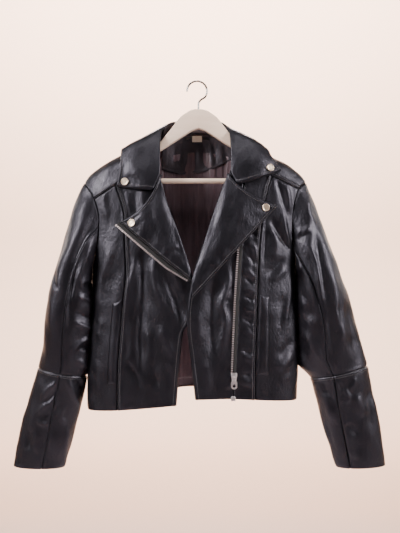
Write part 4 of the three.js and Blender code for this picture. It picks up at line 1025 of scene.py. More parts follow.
# %% Sleeve rings
SLEEVE_COLUMNS = ("outer_x", "outer_z", "inner_x", "inner_z", "front", "back", "seam")
SLEEVE_ROWS = {
    "r": [(0, -230, -206, -213, -385, 34, 32, 0.25), (1, -247, -239, -215.5, -404, 45, 42, 0.25),
          (2, -271, -322, -215.5, -428, 52, 48, 0.25), (3, -293, -398, -215.5, -456, 53, 50, 0.25),
          (4, -305, -450, -217.5, -488, 52, 50, 0.25), (5, -313, -505, -221, -526, 48, 48, 0.252),
          (6, -316, -547, -224.5, -566, 43, 44, 0.255), (7, -325, -584, -226, -602, 37, 38, 0.258),
          (8, -345, -650, -238, -664, 30, 31, 0.262), (9, -362, -712, -251, -722, 26, 26, 0.27),
          (10, -376, -786, -271, -788, 22, 22, 0.28)],
    "l": [(0, 223, -206, 201, -375, 34, 32, 0.35), (1, 245, -260, 203.5, -396, 46, 42, 0.34),
          (2, 275, -342, 204.5, -424, 53, 48, 0.32), (3, 296, -402, 205, -456, 54, 50, 0.30),
          (4, 314, -455, 207.5, -492, 52, 50, 0.29), (5, 327, -500, 209.5, -530, 48, 48, 0.29),
          (6, 337, -540, 211, -570, 43, 44, 0.295), (7, 348, -580, 232, -606, 37, 38, 0.3),
          (8, 362, -645, 247, -664, 30, 31, 0.31), (9, 376, -712, 264, -722, 26, 26, 0.32),
          (10, 386, -784, 285, -788, 22, 22, 0.333)]}
CUFF_RING, END_RING = 7, 10
SEAM_COLUMN = {"r": 5, "l": 7}
sleeve_read = {side: columns_of(rows, SLEEVE_COLUMNS) for side, rows in SLEEVE_ROWS.items()}


def ring_point(side, at, turn):
    read = {name: curve(at) for name, curve in sleeve_read[side].items()}
    cos, sin = np.cos(2 * math.pi * turn), np.sin(2 * math.pi * turn)
    zero = 0 * cos
    outer = np.stack(np.broadcast_arrays(read["outer_x"], zero, read["outer_z"]), -1)
    inner = np.stack(np.broadcast_arrays(read["inner_x"], zero, read["inner_z"]), -1)
    middle = (outer + inner) / 2
    half = outer - middle
    deep = np.where(sin > 0, read["front"], read["back"])
    point = middle + half * cos[..., None]
    point[..., 1] = -deep * sin
    out = half * (cos / np.sum(half**2, -1))[..., None]
    out[..., 1] = -sin / deep
    return point, unit(out)


def armhole_point(side, turn):
    part = (1 - np.cos(2 * math.pi * turn)) / 2
    z = ARMHOLE[side][0][0] + (ARMHOLE[side][-1][0] - ARMHOLE[side][0][0]) * part
    x = armhole_x[side](z)
    front_point, front_out = cloth(f"front_{side}", x, z)
    back_point, back_out = cloth("back", x, z)
    ahead = (turn <= 0.5)[..., None]
    return np.where(ahead, front_point, back_point), np.where(ahead, front_out, back_out)


def sleeve_point(side, at, turn):
    point, out = ring_point(side, at, turn)
    start, _ = ring_point(side, 0 * at, turn)
    seam, seam_out = armhole_point(side, turn)
    point = point + (seam - start) * (1 - smoothstep(at, 0, 2.5))[..., None]
    low = (1 - np.cos(2 * math.pi * turn)) / 2
    like = ((1 - smoothstep(at, 0, 1.2)) * (1 - smoothstep(low, 0.3, 0.8)))[..., None]
    return point, unit(out * (1 - like) + seam_out * like)


def turn_at(side, at, column):
    every = 2 * ARMHOLE_ROWS
    held = SEAM_COLUMN[side] / every
    moved = sleeve_read[side]["seam"](at)
    turn = np.where(column > ARMHOLE_ROWS, every - column, column) / every
    shifted = np.where(turn <= held, turn * moved / held,
                       0.5 - (0.5 - turn) * (0.5 - moved) / (0.5 - held))
    own = turn + (shifted - turn) * smoothstep(at, 0, 1)
    return np.where(column > ARMHOLE_ROWS, 1 - own, own)

# %% Sleeve pieces
SLEEVE_FOLDS = {"r": (FOLDS_SLEEVE_R, FOLDS_SLEEVE_BACK_R), "l": (FOLDS_SLEEVE_L, FOLDS_SLEEVE_BACK_L)}


def sleeve_piece(side, part, first, last, length, edges, seed):
    at = first + spaced(length) * (last - first)
    fixed, every = SEAM_COLUMN[side], 2 * ARMHOLE_ROWS
    span = (fixed, every - fixed) if part == "inner" else (-fixed, fixed)
    width = (span[1] - span[0]) * 17
    column = span[0] + spaced(width) * (span[1] - span[0])
    at, column = np.meshgrid(at, column, indexing="ij")
    turn = turn_at(side, at, np.mod(column, every))
    points, out = sleeve_point(side, at, turn)
    x, z = points[..., 0], points[..., 2]
    ahead, behind = SLEEVE_FOLDS[side]
    sin = np.sin(2 * math.pi * turn)
    fold = np.where(sin > 0, relief(ahead, x, z), relief(behind, x, z))
    fold = fold * np.clip(np.abs(sin) * 2.2, 0, 1)
    beside_body = np.exp(-((turn - 0.5) / 0.11) ** 2)  # the sleeve swells towards the body
    beside_body = beside_body * smoothstep(at, 0.05, 0.6) * (1 - smoothstep(at, 6.2, 7))
    fold = fold + 0.5 * unevenness(points, 31, 40, 70) + 8 * beside_body
    return worked(points, out, fold, sewn(edges), seed)


for side in "rl":
    for part in ("outer", "inner"):
        upper = sleeve_piece(side, part, 0, CUFF_RING, 400, "seam seam seam seam", 40)
        leather_sheet(f"sleeve_{part}_{side}", *upper, rests_on=[f"front_side_{side}"])
        lower = sleeve_piece(side, part, CUFF_RING, END_RING, 205, "seam seam cuff open", 44)
        leather_sheet(f"cuff_{part}_{side}", *lower, rests_on=[f"sleeve_{part}_{side}"])

# %% [markdown]
# ## Collar
#
# The collar leaf falls from a roll line round the neck over its stand. Three curves describe it: the
# roll, the middle and the outer edge, the last two given as heights above the cloth they lie over. At
# the roll the leather turns under in a small half circle, which hides the raw edge of the front.

# %% Collar tables
BEHIND = 4
COLLAR = {  # roll x y z, middle x z lift, edge x z lift; four rows on the back, then four on the front
    "r": [(0, 32, -75, 0, -112, 13, 0, -150, 5), (-30, 29, -75, -42, -112, 12, -58, -152, 5),
          (-52, 18, -78, -76, -119, 15, -112, -156, 6), (-65, 4, -88, -98, -124, 17, -140, -149, 10),
          (-73, -8, -101, -109, -131, 16, -150, -151, 11),
          (-76, -29, -138, -115, -152, 13, -152, -175, 9),
          (-75, -45, -188, -117, -196, 11, -155.5, -202, 7),
          (-89, -51, -227, -123, -225.5, 8, -159.5, -219, 6)],
    "l": [(0, 32, -75, 0, -112, 13, 0, -150, 5), (30, 29, -75, 42, -112, 12, 58, -152, 5),
          (50, 18, -78, 74, -119, 15, 110, -156, 6), (61, 4, -88, 95, -124, 17, 132, -144, 10),
          (68, -8, -101, 105, -131, 16, 141, -151, 11), (70, -29, -136, 110, -147, 13, 148, -161, 9),
          (69, -43, -184, 114, -178, 11, 157, -173, 9), (82, -50, -214, 124, -204, 8, 168, -187.5, 8)]}


def through_three(a, b, c, t):
    return a * (1 - t) * (1 - 2 * t) + b * 4 * t * (1 - t) + c * t * (2 * t - 1)


def collar_half(side, ats, across):
    lines = [[], [], []]
    for number, row in enumerate(COLLAR[side]):
        face = "back" if number < BEHIND else f"front_{side}"
        lines[0].append(row[:3])
        for line, (x, z, lift) in zip(lines[1:], (row[3:6], row[6:])):
            line.append(cloth(face, np.array(x), np.array(z), lift)[0])
    curves = []
    for line in np.array(lines, float):
        read = [smooth_curve(list(enumerate(line[:, k])))(ats) for k in range(3)]
        curves.append(np.stack(read, -1))
    return through_three(*(c[:, None] for c in curves), across[None, :, None])

# %% Rolling an edge under
def with_roll(face, ways, radius, turns=(165, 140, 115, 90, 62, 34)):
    """Adds columns before the first one, which curl under it."""
    start, up = face[:, :1], ways[:, :1]
    away = face[:, :1] - face[:, 2:3]
    away = unit(away - up * np.sum(away * up, -1, keepdims=True))
    middle = start - up * radius
    angles = np.radians(turns)[None, :, None]
    curl = middle + radius * (up * np.cos(angles) + away * np.sin(angles))
    curl_ways = unit(up * np.cos(angles) + away * np.sin(angles))
    return np.concatenate([curl, face], 1), np.concatenate([curl_ways, ways], 1)


def trim_sheet(name, points, hint, fold, edges, seed, roll=None, rests_on=(), wall=1.8):
    """A sheet of the collar or a lapel. Gives back its face as it is before the roll."""
    face, ways, height = worked(points, way_out(points, hint), fold, sewn(edges), seed)
    rolled, rolled_ways = with_roll(face, ways, roll) if roll else (face, ways)
    height = np.pad(height, ((0, 0), (rolled.shape[1] - face.shape[1], 0)))
    leather_sheet(name, rolled, rolled_ways, height, wall, inside=TRIM_LEATHER, held="folded",
                  rests_on=rests_on)
    return face, ways

# %% Collar leaf
COLLAR_FOLDS = {"r": fold_table("""
-86 -96  -92 -128  -92 -170 : 8 1.2 0
-118 -120  -126 -150  -128 -186 : 12 1.3 0
-104 -140  -108 -176  -100 -206 : 9 -1.2 0
-140 -196  -120 -206  -96 -212 : 6 -0.9 0"""), "l": fold_table("""
84 -96  88 -128  84 -168 : 8 1.2 0
122 -122  128 -150  120 -180 : 12 1.3 0
104 -136  104 -166  94 -194 : 9 -1.2 0
96 -206  116 -196  140 -184 : 6 1.4 0""")}
ends = len(COLLAR["r"]) - 1
half_run = spaced(2 * 330)
half_run = 1 - half_run[: len(half_run) // 2 + 1] * 2
half_run = np.concatenate([half_run[half_run > 0.004], [0]]) * ends
across = spaced(80, 3.4)
right_half = collar_half("r", half_run, across)
left_half = collar_half("l", half_run[::-1], across)
leaf_points = np.concatenate([right_half, left_half[1:]])
NECK_MIDDLE = np.array([0, 0, -190.0])
from_neck = leaf_points - NECK_MIDDLE
x, z = leaf_points[..., 0], leaf_points[..., 2]
ahead = smoothstep(-leaf_points[..., 1], -5, 12)
fold = 0.6 * (relief(COLLAR_FOLDS["r"], x, z) + relief(COLLAR_FOLDS["l"], x, z)) * ahead
fold = fold + 0.5 * unevenness(leaf_points, 51, 60, 60)
trim_sheet("collar_leaf", leaf_points, from_neck, fold, "- folded folded folded", 52, roll=2.6,
           rests_on=["back_panel", "front_yoke_r", "front_yoke_l"])

# %% Collar stand
STAND_DROP = np.array([0, -3.6, -3.4])
roll_line = leaf_points[:, 0]
inner_part = roll_line[np.abs(roll_line[:, 0]) < 72]
inner_part = inner_part[inner_part[:, 1] > 2]
stand_x = np.clip(inner_part[:, 0] * 1.12, -NECK_HALF + 4, NECK_HALF - 4)
foot = cloth("back", stand_x, neck_seam_z(stand_x), -2.0)[0] + np.array([0, 0, LAY + 1.5])
t = np.linspace(0, 1, 9)[None, :, None]
stand_points = foot[:, None] * (1 - t) + (inner_part + STAND_DROP)[:, None] * t
trim_sheet("collar_stand", stand_points, stand_points - NECK_MIDDLE,
           0.4 * unevenness(stand_points, 61, 24, 60), "open open - -", 62, rests_on=["back_panel"],
           wall=1.2)

# %% [markdown]
# ## Lapels
#
# Each lapel is the front's own edge turned back along the break line, so it is thick, springy at the
# break and flat at its point. Five rows down the break give its three curves, and its lower edge has
# two rows of stitching with small puckers above them.

# %% Lapels
LAPELS = {  # break x z, middle x z, edge x z, then the three lifts
    "r": [(-74, -197, -103, -256, -152.5, -290.5, 4, 9, 6), (-60, -250, -88, -281, -122, -317, 4, 12, 6),
          (-42, -300, -66, -322, -88, -346, 4, 11, 6), (-26, -345, -39, -360, -52, -376, 4, 9, 6),
          (-11, -388, -12, -397, -13, -406, 3.8, 6, 5)],
    "l": [(63, -194, 101, -232, 160, -258, 4, 9, 6), (43, -246, 82, -277, 123, -299, 4, 13, 6),
          (25, -300, 56, -322, 84, -341, 4, 12, 6), (9, -350, 26, -367, 42, -386, 4, 10, 6),
          (-9, -402, -9, -422, -8, -440, 3.8, 6, 5)]}
LAPEL_FOLDS = {"r": fold_table("""
-80 -224  -66 -262  -48 -306 : 8 2.2 0
-112 -250  -106 -276  -96 -306 : 8 1.8 0
-94 -244  -86 -284  -70 -326 : 7 -2.0 0
-58 -353  -42 -347  -30 -352 : 3.5 -2.4 0.2
-60 -346  -44 -338  -32 -342 : 4 1.8 0"""), "l": fold_table("""
62 -226  50 -270  32 -318 : 8 1.8 0
92 -242  86 -280  72 -318 : 9 1.4 0
116 -250  112 -275  102 -300 : 9 -1.4 0
70 -222  90 -228  112 -222 : 5 1.3 0""")}
LAPEL_COLUMNS = ("bx", "bz", "mx", "mz", "ex", "ez", "l0", "l1", "l2")
lapel_curves = {side: columns_of([(i / 4, *row) for i, row in enumerate(rows)], LAPEL_COLUMNS)
                for side, rows in LAPELS.items()}


def lapel_point(side, down, across):
    c = {name: curve(down) for name, curve in lapel_curves[side].items()}
    x = through_three(c["bx"], c["mx"], c["ex"], across)
    z = through_three(c["bz"], c["mz"], c["ez"], across)
    return cloth(f"front_{side}", x, z, through_three(c["l0"], c["l1"], c["l2"], across))


lapel_face = {}
for number, side in enumerate("rl"):
    down, over = np.meshgrid(spaced(210, 3.2), spaced(95, 3.2), indexing="ij")
    points, out = lapel_point(side, down, over)
    fold = 0.45 * relief(LAPEL_FOLDS[side], points[..., 0], points[..., 2]) * smoothstep(1 - down, 0, 0.15)
    pucker = np.sin(down * 44 + 2 * np.sin(down * 9)) * np.exp(-((over - 0.8) / 0.16) ** 2)
    fold = fold + 0.45 * pucker * smoothstep(1 - down, 0.05, 0.3)
    lapel_face[side] = trim_sheet(f"lapel_{side}", points, out, fold, "- lapel folded -", 70 + number,
                                  roll=2.9, rests_on=[f"front_centre_{side}"])

# %% [markdown]
# ## Rows of stitches and teeth
#
# Stitches and zip teeth are one small shape set again and again along a line. A Geometry Nodes tree
# does this: it turns the line into a curve, steps along it at the pitch, turns each shape to the line
# and to the cloth, and melts the copies into one mesh. Its sizes are inputs, so one recipe serves both.

# %% The tree that sets a shape along a line
def row_tree(name, shape_type):
    tree = bpy.data.node_groups.new(name, "GeometryNodeTree")
    tree.interface.new_socket("Line", in_out="INPUT", socket_type="NodeSocketGeometry")
    for label, default in (("Pitch", 0.003), ("Length", 0.002), ("Width", 0.001), ("Height", 0.001)):
        made = tree.interface.new_socket(label, in_out="INPUT", socket_type="NodeSocketFloat")
        made.default_value = default
    tree.interface.new_socket("Finish", in_out="INPUT", socket_type="NodeSocketMaterial")
    tree.interface.new_socket("Row", in_out="OUTPUT", socket_type="NodeSocketGeometry")
    new, link = tree.nodes.new, tree.links.new
    into, out_of = new("NodeGroupInput"), new("NodeGroupOutput")
    to_curve, steps = new("GeometryNodeMeshToCurve"), new("GeometryNodeResampleCurve")
    steps.mode = "LENGTH"
    link(into.outputs["Line"], to_curve.inputs["Mesh"])
    link(to_curve.outputs["Curve"], steps.inputs["Curve"])
    link(into.outputs["Pitch"], steps.inputs["Length"])
    shape = new(shape_type)
    size = new("ShaderNodeCombineXYZ")
    for axis, label in zip("XYZ", ("Length", "Width", "Height")):
        link(into.outputs[label], size.inputs[axis])
    scale = new("GeometryNodeTransform")
    if shape_type == "GeometryNodeMeshUVSphere":
        shape.inputs["Segments"].default_value = 6
        shape.inputs["Rings"].default_value = 4
        shape.inputs["Radius"].default_value = 0.5
    link(shape.outputs["Mesh"], scale.inputs["Geometry"])
    link(size.outputs["Vector"], scale.inputs["Scale"])
    tangent, up = new("GeometryNodeInputTangent"), new("GeometryNodeInputNamedAttribute")
    up.data_type = "FLOAT_VECTOR"
    up.inputs["Name"].default_value = "up"
    turn_x, turn_z = new("FunctionNodeAlignRotationToVector"), new("FunctionNodeAlignRotationToVector")
    turn_x.axis, turn_z.axis, turn_z.pivot_axis = "X", "Z", "X"
    link(tangent.outputs["Tangent"], turn_x.inputs["Vector"])
    link(turn_x.outputs["Rotation"], turn_z.inputs["Rotation"])
    link(up.outputs["Attribute"], turn_z.inputs["Vector"])
    place = new("GeometryNodeInstanceOnPoints")
    link(steps.outputs["Curve"], place.inputs["Points"])
    link(scale.outputs["Geometry"], place.inputs["Instance"])
    link(turn_z.outputs["Rotation"], place.inputs["Rotation"])
    real, finish = new("GeometryNodeRealizeInstances"), new("GeometryNodeSetMaterial")
    link(place.outputs["Instances"], real.inputs["Geometry"])
    link(real.outputs["Geometry"], finish.inputs["Geometry"])
    link(into.outputs["Finish"], finish.inputs["Material"])
    link(finish.outputs["Geometry"], out_of.inputs["Row"])
    return tree


def set_along(name, lines, tree, sizes, finish):
    """One mesh of shapes along lines of (points, ways up), in millimetres."""
    points = np.concatenate([line for line, _ in lines]) * MM
    ways = np.concatenate([up for _, up in lines])
    mesh = bpy.data.meshes.new(name + "_line")
    edges, start = [], 0
    for line, _ in lines:
        edges += [(start + i, start + i + 1) for i in range(len(line) - 1)]
        start += len(line)
    mesh.from_pydata(points.tolist(), edges, [])
    up = mesh.attributes.new("up", "FLOAT_VECTOR", "POINT")
    up.data.foreach_set("vector", ways.astype(np.float32).ravel())
    guide = add_object(name + "_line", mesh)
    modifier = guide.modifiers.new("row", "NODES")
    modifier.node_group = tree
    for item in tree.interface.items_tree:
        if item.in_out == "INPUT" and item.name in sizes:
            modifier[item.identifier] = sizes[item.name] * MM
        if item.in_out == "INPUT" and item.name == "Finish":
            modifier[item.identifier] = finish
    graph = bpy.context.evaluated_depsgraph_get()
    graph.update()
    plain = bpy.data.meshes.new_from_object(guide.evaluated_get(graph), preserve_all_data_layers=True,
                                            depsgraph=graph)
    modifier.node_group = None
    guide.modifiers.remove(modifier)
    bpy.data.objects.remove(guide)
    plain.name = name
    if not plain.materials:
        plain.materials.append(finish)
    print(f"{name}: {len(plain.polygons)} faces")
    return add_object(name, plain)


STITCH_ROW = row_tree("stitch_row", "GeometryNodeMeshUVSphere")
TOOTH_ROW = row_tree("tooth_row", "GeometryNodeMeshCube")

# %% Topstitching
STITCH = {"Pitch": 3.8, "Length": 2.6, "Width": 0.85, "Height": 0.7}
stitched = [(line + up * 0.2, up) for line, up in stitch_lines if len(line) > 4]
half = len(stitched) // 2
for name, lines in (("topstitching_a", stitched[:half]), ("topstitching_b", stitched[half:])):
    made = set_along(name, lines, STITCH_ROW, STITCH, THREAD)
    smooth_faces(made.data)
    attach(made, "jacket")

# %% [markdown]
# ## Zips
#
# The zip is open, so each half shows a woven tape with metal teeth along its bare edge: one half along
# the right lapel, one down the left front beside the gathered strip. The tape is a strip of cloth.

# %% Tapes
ZIP_TOP, ZIP_FOOT = -262, -586
TAPE_WALL = 1.0


def ribbon(name, points, hint, rests_on):
    leather_sheet(name, points, way_out(points, hint), None, TAPE_WALL, "tape", TAPE, TAPE,
                  rests_on=[rests_on])


zip_z = np.linspace(ZIP_TOP, ZIP_FOOT, 90)
zip_x = seam_x["l"]["zip"](zip_z)
offsets = np.linspace(-5.6, 3.4, 6)
front_tape, front_out = cloth("front_l", zip_x[:, None] + offsets, zip_z[:, None] + 0 * offsets, LAY + 1.2)
ribbon("front_zip_l", front_tape, front_out, "front_centre_l")

down = np.linspace(0, 1, 70)
edge, edge_out = lapel_point("r", down, np.ones(70))
along = unit(np.gradient(edge, axis=0))
sideways = unit(np.cross(along, edge_out))
sideways = np.where(sideways[:, 2:] > 0, -sideways, sideways)
reach = 9 * np.minimum(1, 0.35 + (10 - 10 * down) / 4)
steps = np.linspace(0, 1, 6)[None, :, None]
aside = 0.4 + steps * reach[:, None, None]
lapel_tape = edge[:, None] + sideways[:, None] * aside - edge_out[:, None] * 1.0
ribbon("lapel_zip_r", lapel_tape, np.repeat(edge_out[:, None], 6, 1), "lapel_r")

# %% Teeth
TOOTH = {"Pitch": 4.4, "Length": 2.0, "Width": 3.6, "Height": 2.2}
front_teeth = (front_tape[:, 0] + front_out[:, 0] * 0.4 + np.array([0.6, 0, 0]), front_out[:, 0])
lapel_teeth = (lapel_tape[:-2, -1] + edge_out[:-2] * 0.3 - sideways[:-2] * 0.5, edge_out[:-2])
for name, line in (("zip_teeth_front", front_teeth), ("zip_teeth_lapel", lapel_teeth)):
    made = set_along(name, [line], TOOTH_ROW, TOOTH, ZIP_METAL)
    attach(made, "jacket")

# %% [markdown]
# ## Slider, pull and box
#
# The slider is a small cast block, wider at its top, with two lugs that carry a pin. The pull hangs on
# the pin by its eye and swings up, so it rides on a body of its own. Its long plate has a hole.

# %% Plates and turned shapes
def joined(name, build, body_name, finish, bevel=0.35, segments=2, smooth=True):
    """Builds one piece in bmesh, in millimetres, and finishes it."""
    shape = bmesh.new()
    build(shape)
    bmesh.ops.remove_doubles(shape, verts=shape.verts, dist=1e-4)
    bmesh.ops.recalc_face_normals(shape, faces=shape.faces)
    if bevel:
        sharp = [e for e in shape.edges if len(e.link_faces) == 2 and e.calc_face_angle(0) > 0.6]
        bmesh.ops.bevel(shape, geom=sharp, offset=bevel, segments=segments, affect="EDGES", profile=0.5)
    for vertex in shape.verts:
        vertex.co *= MM
    mesh = bpy.data.meshes.new(name)
    shape.to_mesh(mesh)
    shape.free()
    made = add_object(name, mesh)
    mesh.materials.append(finish)
    mesh.polygons.foreach_set("use_smooth", [smooth] * len(mesh.polygons))
    mesh.set_sharp_from_angle(angle=math.radians(40))
    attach(made, body_name)
    return made


def prism(shape, outline, y_front, y_back, origin):
    """A plate with an outline in x and z."""
    ox, oy, oz = origin
    ahead = [shape.verts.new((ox + x, oy + y_front, oz + z)) for x, z in outline]
    behind = [shape.verts.new((ox + x, oy + y_back, oz + z)) for x, z in outline]
    shape.faces.new(ahead)
    shape.faces.new(behind[::-1])
    n = len(outline)
    for i in range(n):
        j = (i + 1) % n
        shape.faces.new((ahead[j], ahead[i], behind[i], behind[j]))


def pin(shape, radius, x_from, x_to, origin, hole=0.0, sides=20):
    """A round bar or tube along x."""
    ox, oy, oz = origin
    angles = [2 * math.pi * i / sides for i in range(sides)]
    rings = [[shape.verts.new((ox + x, oy + r * math.cos(a), oz + r * math.sin(a))) for a in angles]
             for x, r in ((x_from, radius), (x_to, radius), (x_to, hole), (x_from, hole)) if r > 0]
    pairs = zip(rings, rings[1:] + rings[:1]) if hole else zip(rings, rings[1:])
    for first, second in pairs:
        for i in range(sides):
            j = (i + 1) % sides
            shape.faces.new((first[i], first[j], second[j], second[i]))
    if not hole:
        shape.faces.new(rings[0])
        shape.faces.new(rings[1][::-1])


HINGE = np.array([72.578, -66.157, -593.0])
SLIDER_Y = HINGE[1] + 4.8
slider_outline = [(-4.4, -8.0), (4.4, -8.0), (4.8, -2), (6.0, 3.4), (6.0, 6.6), (4.2, 8.0), (-4.2, 8.0),
                  (-6.0, 6.6), (-6.0, 3.4), (-4.8, -2)]


def build_slider(shape):
    origin = (HINGE[0], SLIDER_Y, HINGE[2] - 1)
    prism(shape, slider_outline, -2.5, -0.9, origin)
    prism(shape, slider_outline, 0.9, 2.5, origin)
    prism(shape, [(-1.4, -1), (1.4, -1), (1.8, 7), (-1.8, 7)], -1.0, 1.0, origin)
    for x in (-3.2, 3.2):
        lug = [(x - 0.7, -1.8), (x + 0.7, -1.8), (x + 0.7, 1.8), (x - 0.7, 1.8)]
        prism(shape, lug, -0.9, 2.6, tuple(HINGE))
    pin(shape, 0.65, -3.2, 3.2, HINGE)


slider = joined("zip_slider_cast", build_slider, "jacket", SLIDER_METAL, 0.3)
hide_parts("zip_slider")

# %% The pull
def build_pull(shape):
    half, thick, round_z = 6.0, 0.8, -18.0
    turns = np.linspace(-math.pi / 2, math.pi / 2, 13)
    outer = [(math.sin(a) * half, round_z - math.cos(a) * half) for a in turns]
    outer += [(half, -11.4), (5.2, -9.2), (2.5, -6.4), (2.1, -1.3)]
    outer = outer + [(-x, z) for x, z in outer[:12:-1]]
    hole_z = -17.4
    angles = [math.atan2(z - hole_z, x) for x, z in outer]
    hole = [(3.1 * math.cos(a), hole_z + 3.4 * math.sin(a)) for a in angles]
    for y, flip in ((-thick, False), (thick, True)):
        out_ring, in_ring = ([shape.verts.new(tuple(HINGE + (x, y, z))) for x, z in ring]
                             for ring in (outer, hole))
        n = len(outer)
        for i in range(n):
            j = (i + 1) % n
            quad = (out_ring[i], out_ring[j], in_ring[j], in_ring[i])
            shape.faces.new(quad[::-1] if flip else quad)
        if not flip:
            first = (out_ring, in_ring)
        else:
            for a, b in zip(first, (out_ring, in_ring)):
                for i in range(n):
                    j = (i + 1) % n
                    shape.faces.new((a[j], a[i], b[i], b[j]))
    pin(shape, 1.9, -2.2, 2.2, HINGE, hole=0.95)


pull = joined("zip_pull_plate", build_pull, "zip_pull", SLIDER_METAL, 0.22, 1)
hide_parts("zip_pull")

# %% The box
def box_mm(node):
    low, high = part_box(node)
    return np.array(low) / MM, np.array(high) / MM


def build_box(shape):
    low, high = box_mm("zip_box_l")
    middle = (low + high) / 2
    w, h = (high[0] - low[0]) / 2, (high[2] - low[2]) / 2
    outline = [(-w, -h), (w, -h), (w, h * 0.4), (w * 0.7, h), (-w * 0.7, h), (-w, h * 0.4)]
    prism(shape, outline, low[1] - middle[1], high[1] - middle[1], tuple(middle))


box = joined("zip_end_box", build_box, "jacket", SLIDER_METAL, 0.7, 3)
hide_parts("zip_box_l")

# %% [markdown]
# ## Press studs
#
# Four flat caps with a rolled rim hold nothing here; they dress the points of collar and lapels. Each
# is turned from one profile and set square to the leather under it, a little sunk in.

# %% Studs
STUD_PROFILE = [(0, -1.2), (6.4, -1.2), (7.1, -0.4), (7.5, 0.5), (7.5, 1.2), (7.2, 1.75), (6.7, 2.0),
                (6.2, 1.9), (5.8, 1.5), (5.4, 1.35), (3.0, 1.5), (0, 1.55)]
STUD_LIFT = 0.8


def build_stud(middle, square, sides=40):
    def build(shape):
        turn = Vector((0, 0, 1)).rotation_difference(Vector(square)).to_matrix()
        angles = [2 * math.pi * i / sides for i in range(sides)]
        rings = []
        for radius, height in STUD_PROFILE:
            ring = [(radius * math.cos(a), radius * math.sin(a), height) for a in (angles if radius else [0])]
            rings.append([shape.verts.new(Vector(middle) + turn @ Vector(point)) for point in ring])
        for a, b in zip(rings, rings[1:]):
            for i in range(sides):
                j = (i + 1) % sides
                corners = [a[i % len(a)], a[j % len(a)], b[j % len(b)], b[i % len(b)]]
                shape.faces.new(list(dict.fromkeys(corners)))
    return build


def seat_on(face, ways, target):
    """The point of a grid nearest to the middle of a stud's solid, and the way up there."""
    gap = np.linalg.norm(face - target, axis=-1)
    i, j = np.unravel_index(np.argmin(gap), gap.shape)
    return face[i, j], unit(ways[max(i - 2, 0):i + 3, max(j - 2, 0):j + 3].mean((0, 1)))


leaf_ways = way_out(leaf_points, from_neck)
for name, face, ways in (("stud_collar_r", leaf_points, leaf_ways), ("stud_collar_l", leaf_points, leaf_ways),
                         ("stud_lapel_r", *lapel_face["r"]), ("stud_lapel_l", *lapel_face["l"])):
    low, high = box_mm(name)
    seat, square = seat_on(face, ways, (low + high) / 2)
    cap = build_stud(seat + square * STUD_LIFT, square)
    made = joined(name + "_cap", cap, "jacket", STUD_METAL, 0)
    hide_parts(name)

# %% [markdown]
# ## Label and hang loop
#
# A small blank label and a hang loop are sewn into the back of the neck, so they are strips of cloth on
# the facing. The loop bows out a little, because it is a touch longer than the gap it spans.

# %% Label and loop
label_x = np.linspace(-10.5, 10.5, 16)[None, :]
label_z = np.linspace(BACK_NECK_Z - 2, BACK_NECK_Z - 15, 12)[:, None]
label_points, label_out = cloth("back", label_x + 0 * label_z, label_z + 0 * label_x, -9.6)
label_points[..., 1] += 0.5 * np.sin(np.linspace(0, 5, 16))[None, :]
leather_sheet("neck_label", label_points, way_out(label_points, -label_out), None, 0.7, "label",
              LABEL_CLOTH, LABEL_CLOTH, rests_on=["back_neck_facing"])
part = np.linspace(-1, 1, 40)
loop_seat, loop_out = cloth("back", part * 27, BACK_NECK_Z - 6 - 3 * part**2, -6.8)
loop_seat[:, 1] -= 1.2 * (1 - part**2)
tall = np.linspace(2.5, -2.5, 5)
loop_points = loop_seat[None] + np.array([0, 0, 1.0]) * tall[:, None, None]
loop_ways = way_out(loop_points, np.repeat(-loop_out[None], 5, 0))
leather_sheet("hang_loop", loop_points, loop_ways, None, 0.9, "tape", TAPE, TAPE,
              rests_on=["back_neck_facing"])

# %% [markdown]
# ## Hanger
#
# The hanger is a flat piece of painted wood with rounded edges, its top drawn to the shoulders it
# carries, with a round bar let in below and a steel hook bent from one wire. The outline is extruded and
# its edges are bevelled, the bar and the hook are rings swept along a line.

# %% Wooden arms
HANGER_X, HANGER_TOP, BAR_Z, CLOTH_GAP, HALF_THICK = 3.0, -56.0, -203.0, 5.9, 5.9


def arm_top(x):
    over = min(float(shoulder_z(HANGER_X + x)), float(shoulder_z(HANGER_X - x)))
    return min(over - CLOTH_GAP, HANGER_TOP)


arm_xs = [197, 191, 185, 176, 167, 156, 145, 132, 120, 107, 95]
arm_over = [(x, arm_top(x)) for x in arm_xs]
arm_over += [(86, arm_top(86) - 1), (76, -121.5), (70, -113), (60, -101.5), (50, -88.5), (45, -81.5),
             (37, -72), (32, -68.2), (27, -65), (19.4, -60), (13.5, -57.4), (6, -56.2), (0, HANGER_TOP)]
arm_under = [(0, -96), (14, -101), (45, -121), (76, -141), (103, -151), (130, -160), (149, -169),
             (165, -180), (184, -195), (184, -210), (190, -214), (198, -213), (203, -207), (202, -196)]
other_side = [(-x, z) for x, z in arm_over[-2::-1] + arm_under[:0:-1]]
outline = arm_over + other_side + arm_under


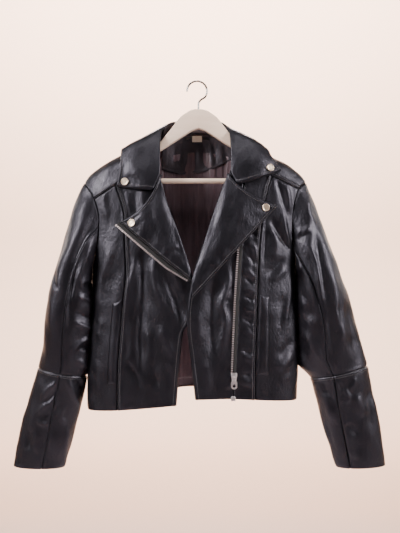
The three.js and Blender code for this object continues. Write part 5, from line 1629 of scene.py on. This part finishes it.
def build_arms(shape):
    prism(shape, outline, -HALF_THICK, HALF_THICK, (HANGER_X, 0, 0))


arms = joined("hanger_arms_wood", build_arms, "jacket", WOOD, 2.6, 3)
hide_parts("hanger_arms")

# %% Bar and hook
def swept(name, line, radius, sides, finish):
    line = np.array(line, float)
    along = unit(np.gradient(line, axis=0))
    side = unit(np.cross(along, np.array([0, 1.0, 0])))
    over = np.cross(along, side)
    angles = 2 * math.pi * np.arange(sides) / sides
    round_it = np.cos(angles)[:, None] * side[:, None] + np.sin(angles)[:, None] * over[:, None]
    rings = line[:, None] + radius * round_it
    points = np.concatenate([rings.reshape(-1, 3), line[:1], line[-1:]]) * MM
    n, faces = sides, []
    for i in range(len(line) - 1):
        here, after = i * n, (i + 1) * n
        faces += [(here + j, here + (j + 1) % n, after + (j + 1) % n, after + j) for j in range(n)]
    last = (len(line) - 1) * n
    faces += [((j + 1) % n, j, last + n) for j in range(n)]
    faces += [(last + j, last + (j + 1) % n, last + n + 1) for j in range(n)]
    made = mesh_object(name, points, faces)
    work = bmesh.new()
    work.from_mesh(made.data)
    bmesh.ops.recalc_face_normals(work, faces=work.faces)
    work.to_mesh(made.data)
    work.free()
    smooth_faces(made.data)
    made.data.set_sharp_from_angle(angle=math.radians(50))
    made.data.materials.append(finish)
    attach(made, "jacket")
    return made


bar_line = [(HANGER_X + x, 0, BAR_Z) for x in np.linspace(-183.7, 183.7, 60)]
bar = swept("hanger_bar_wood", bar_line, 5.5, 32, WOOD)
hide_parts("hanger_bar")
HOOK_RADIUS, WIRE_RADIUS = 20.5, 2.0
turns = np.radians(np.arange(182, -46, -6))
hook = [(HOOK_RADIUS * math.cos(a), WIRE_RADIUS - HOOK_RADIUS + HOOK_RADIUS * math.sin(a)) for a in turns]
hook += [(9.6, -35.2), (6.2, -38.4), (4.0, -41.4), (HANGER_X, -45), (HANGER_X, -50), (HANGER_X, -56.4)]
hook = rounded_path(hook, 4)
wire = swept("hanger_hook_wire", [(x, 0, z) for x, z in hook], WIRE_RADIUS, 18, WIRE)
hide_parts("hanger_hook")
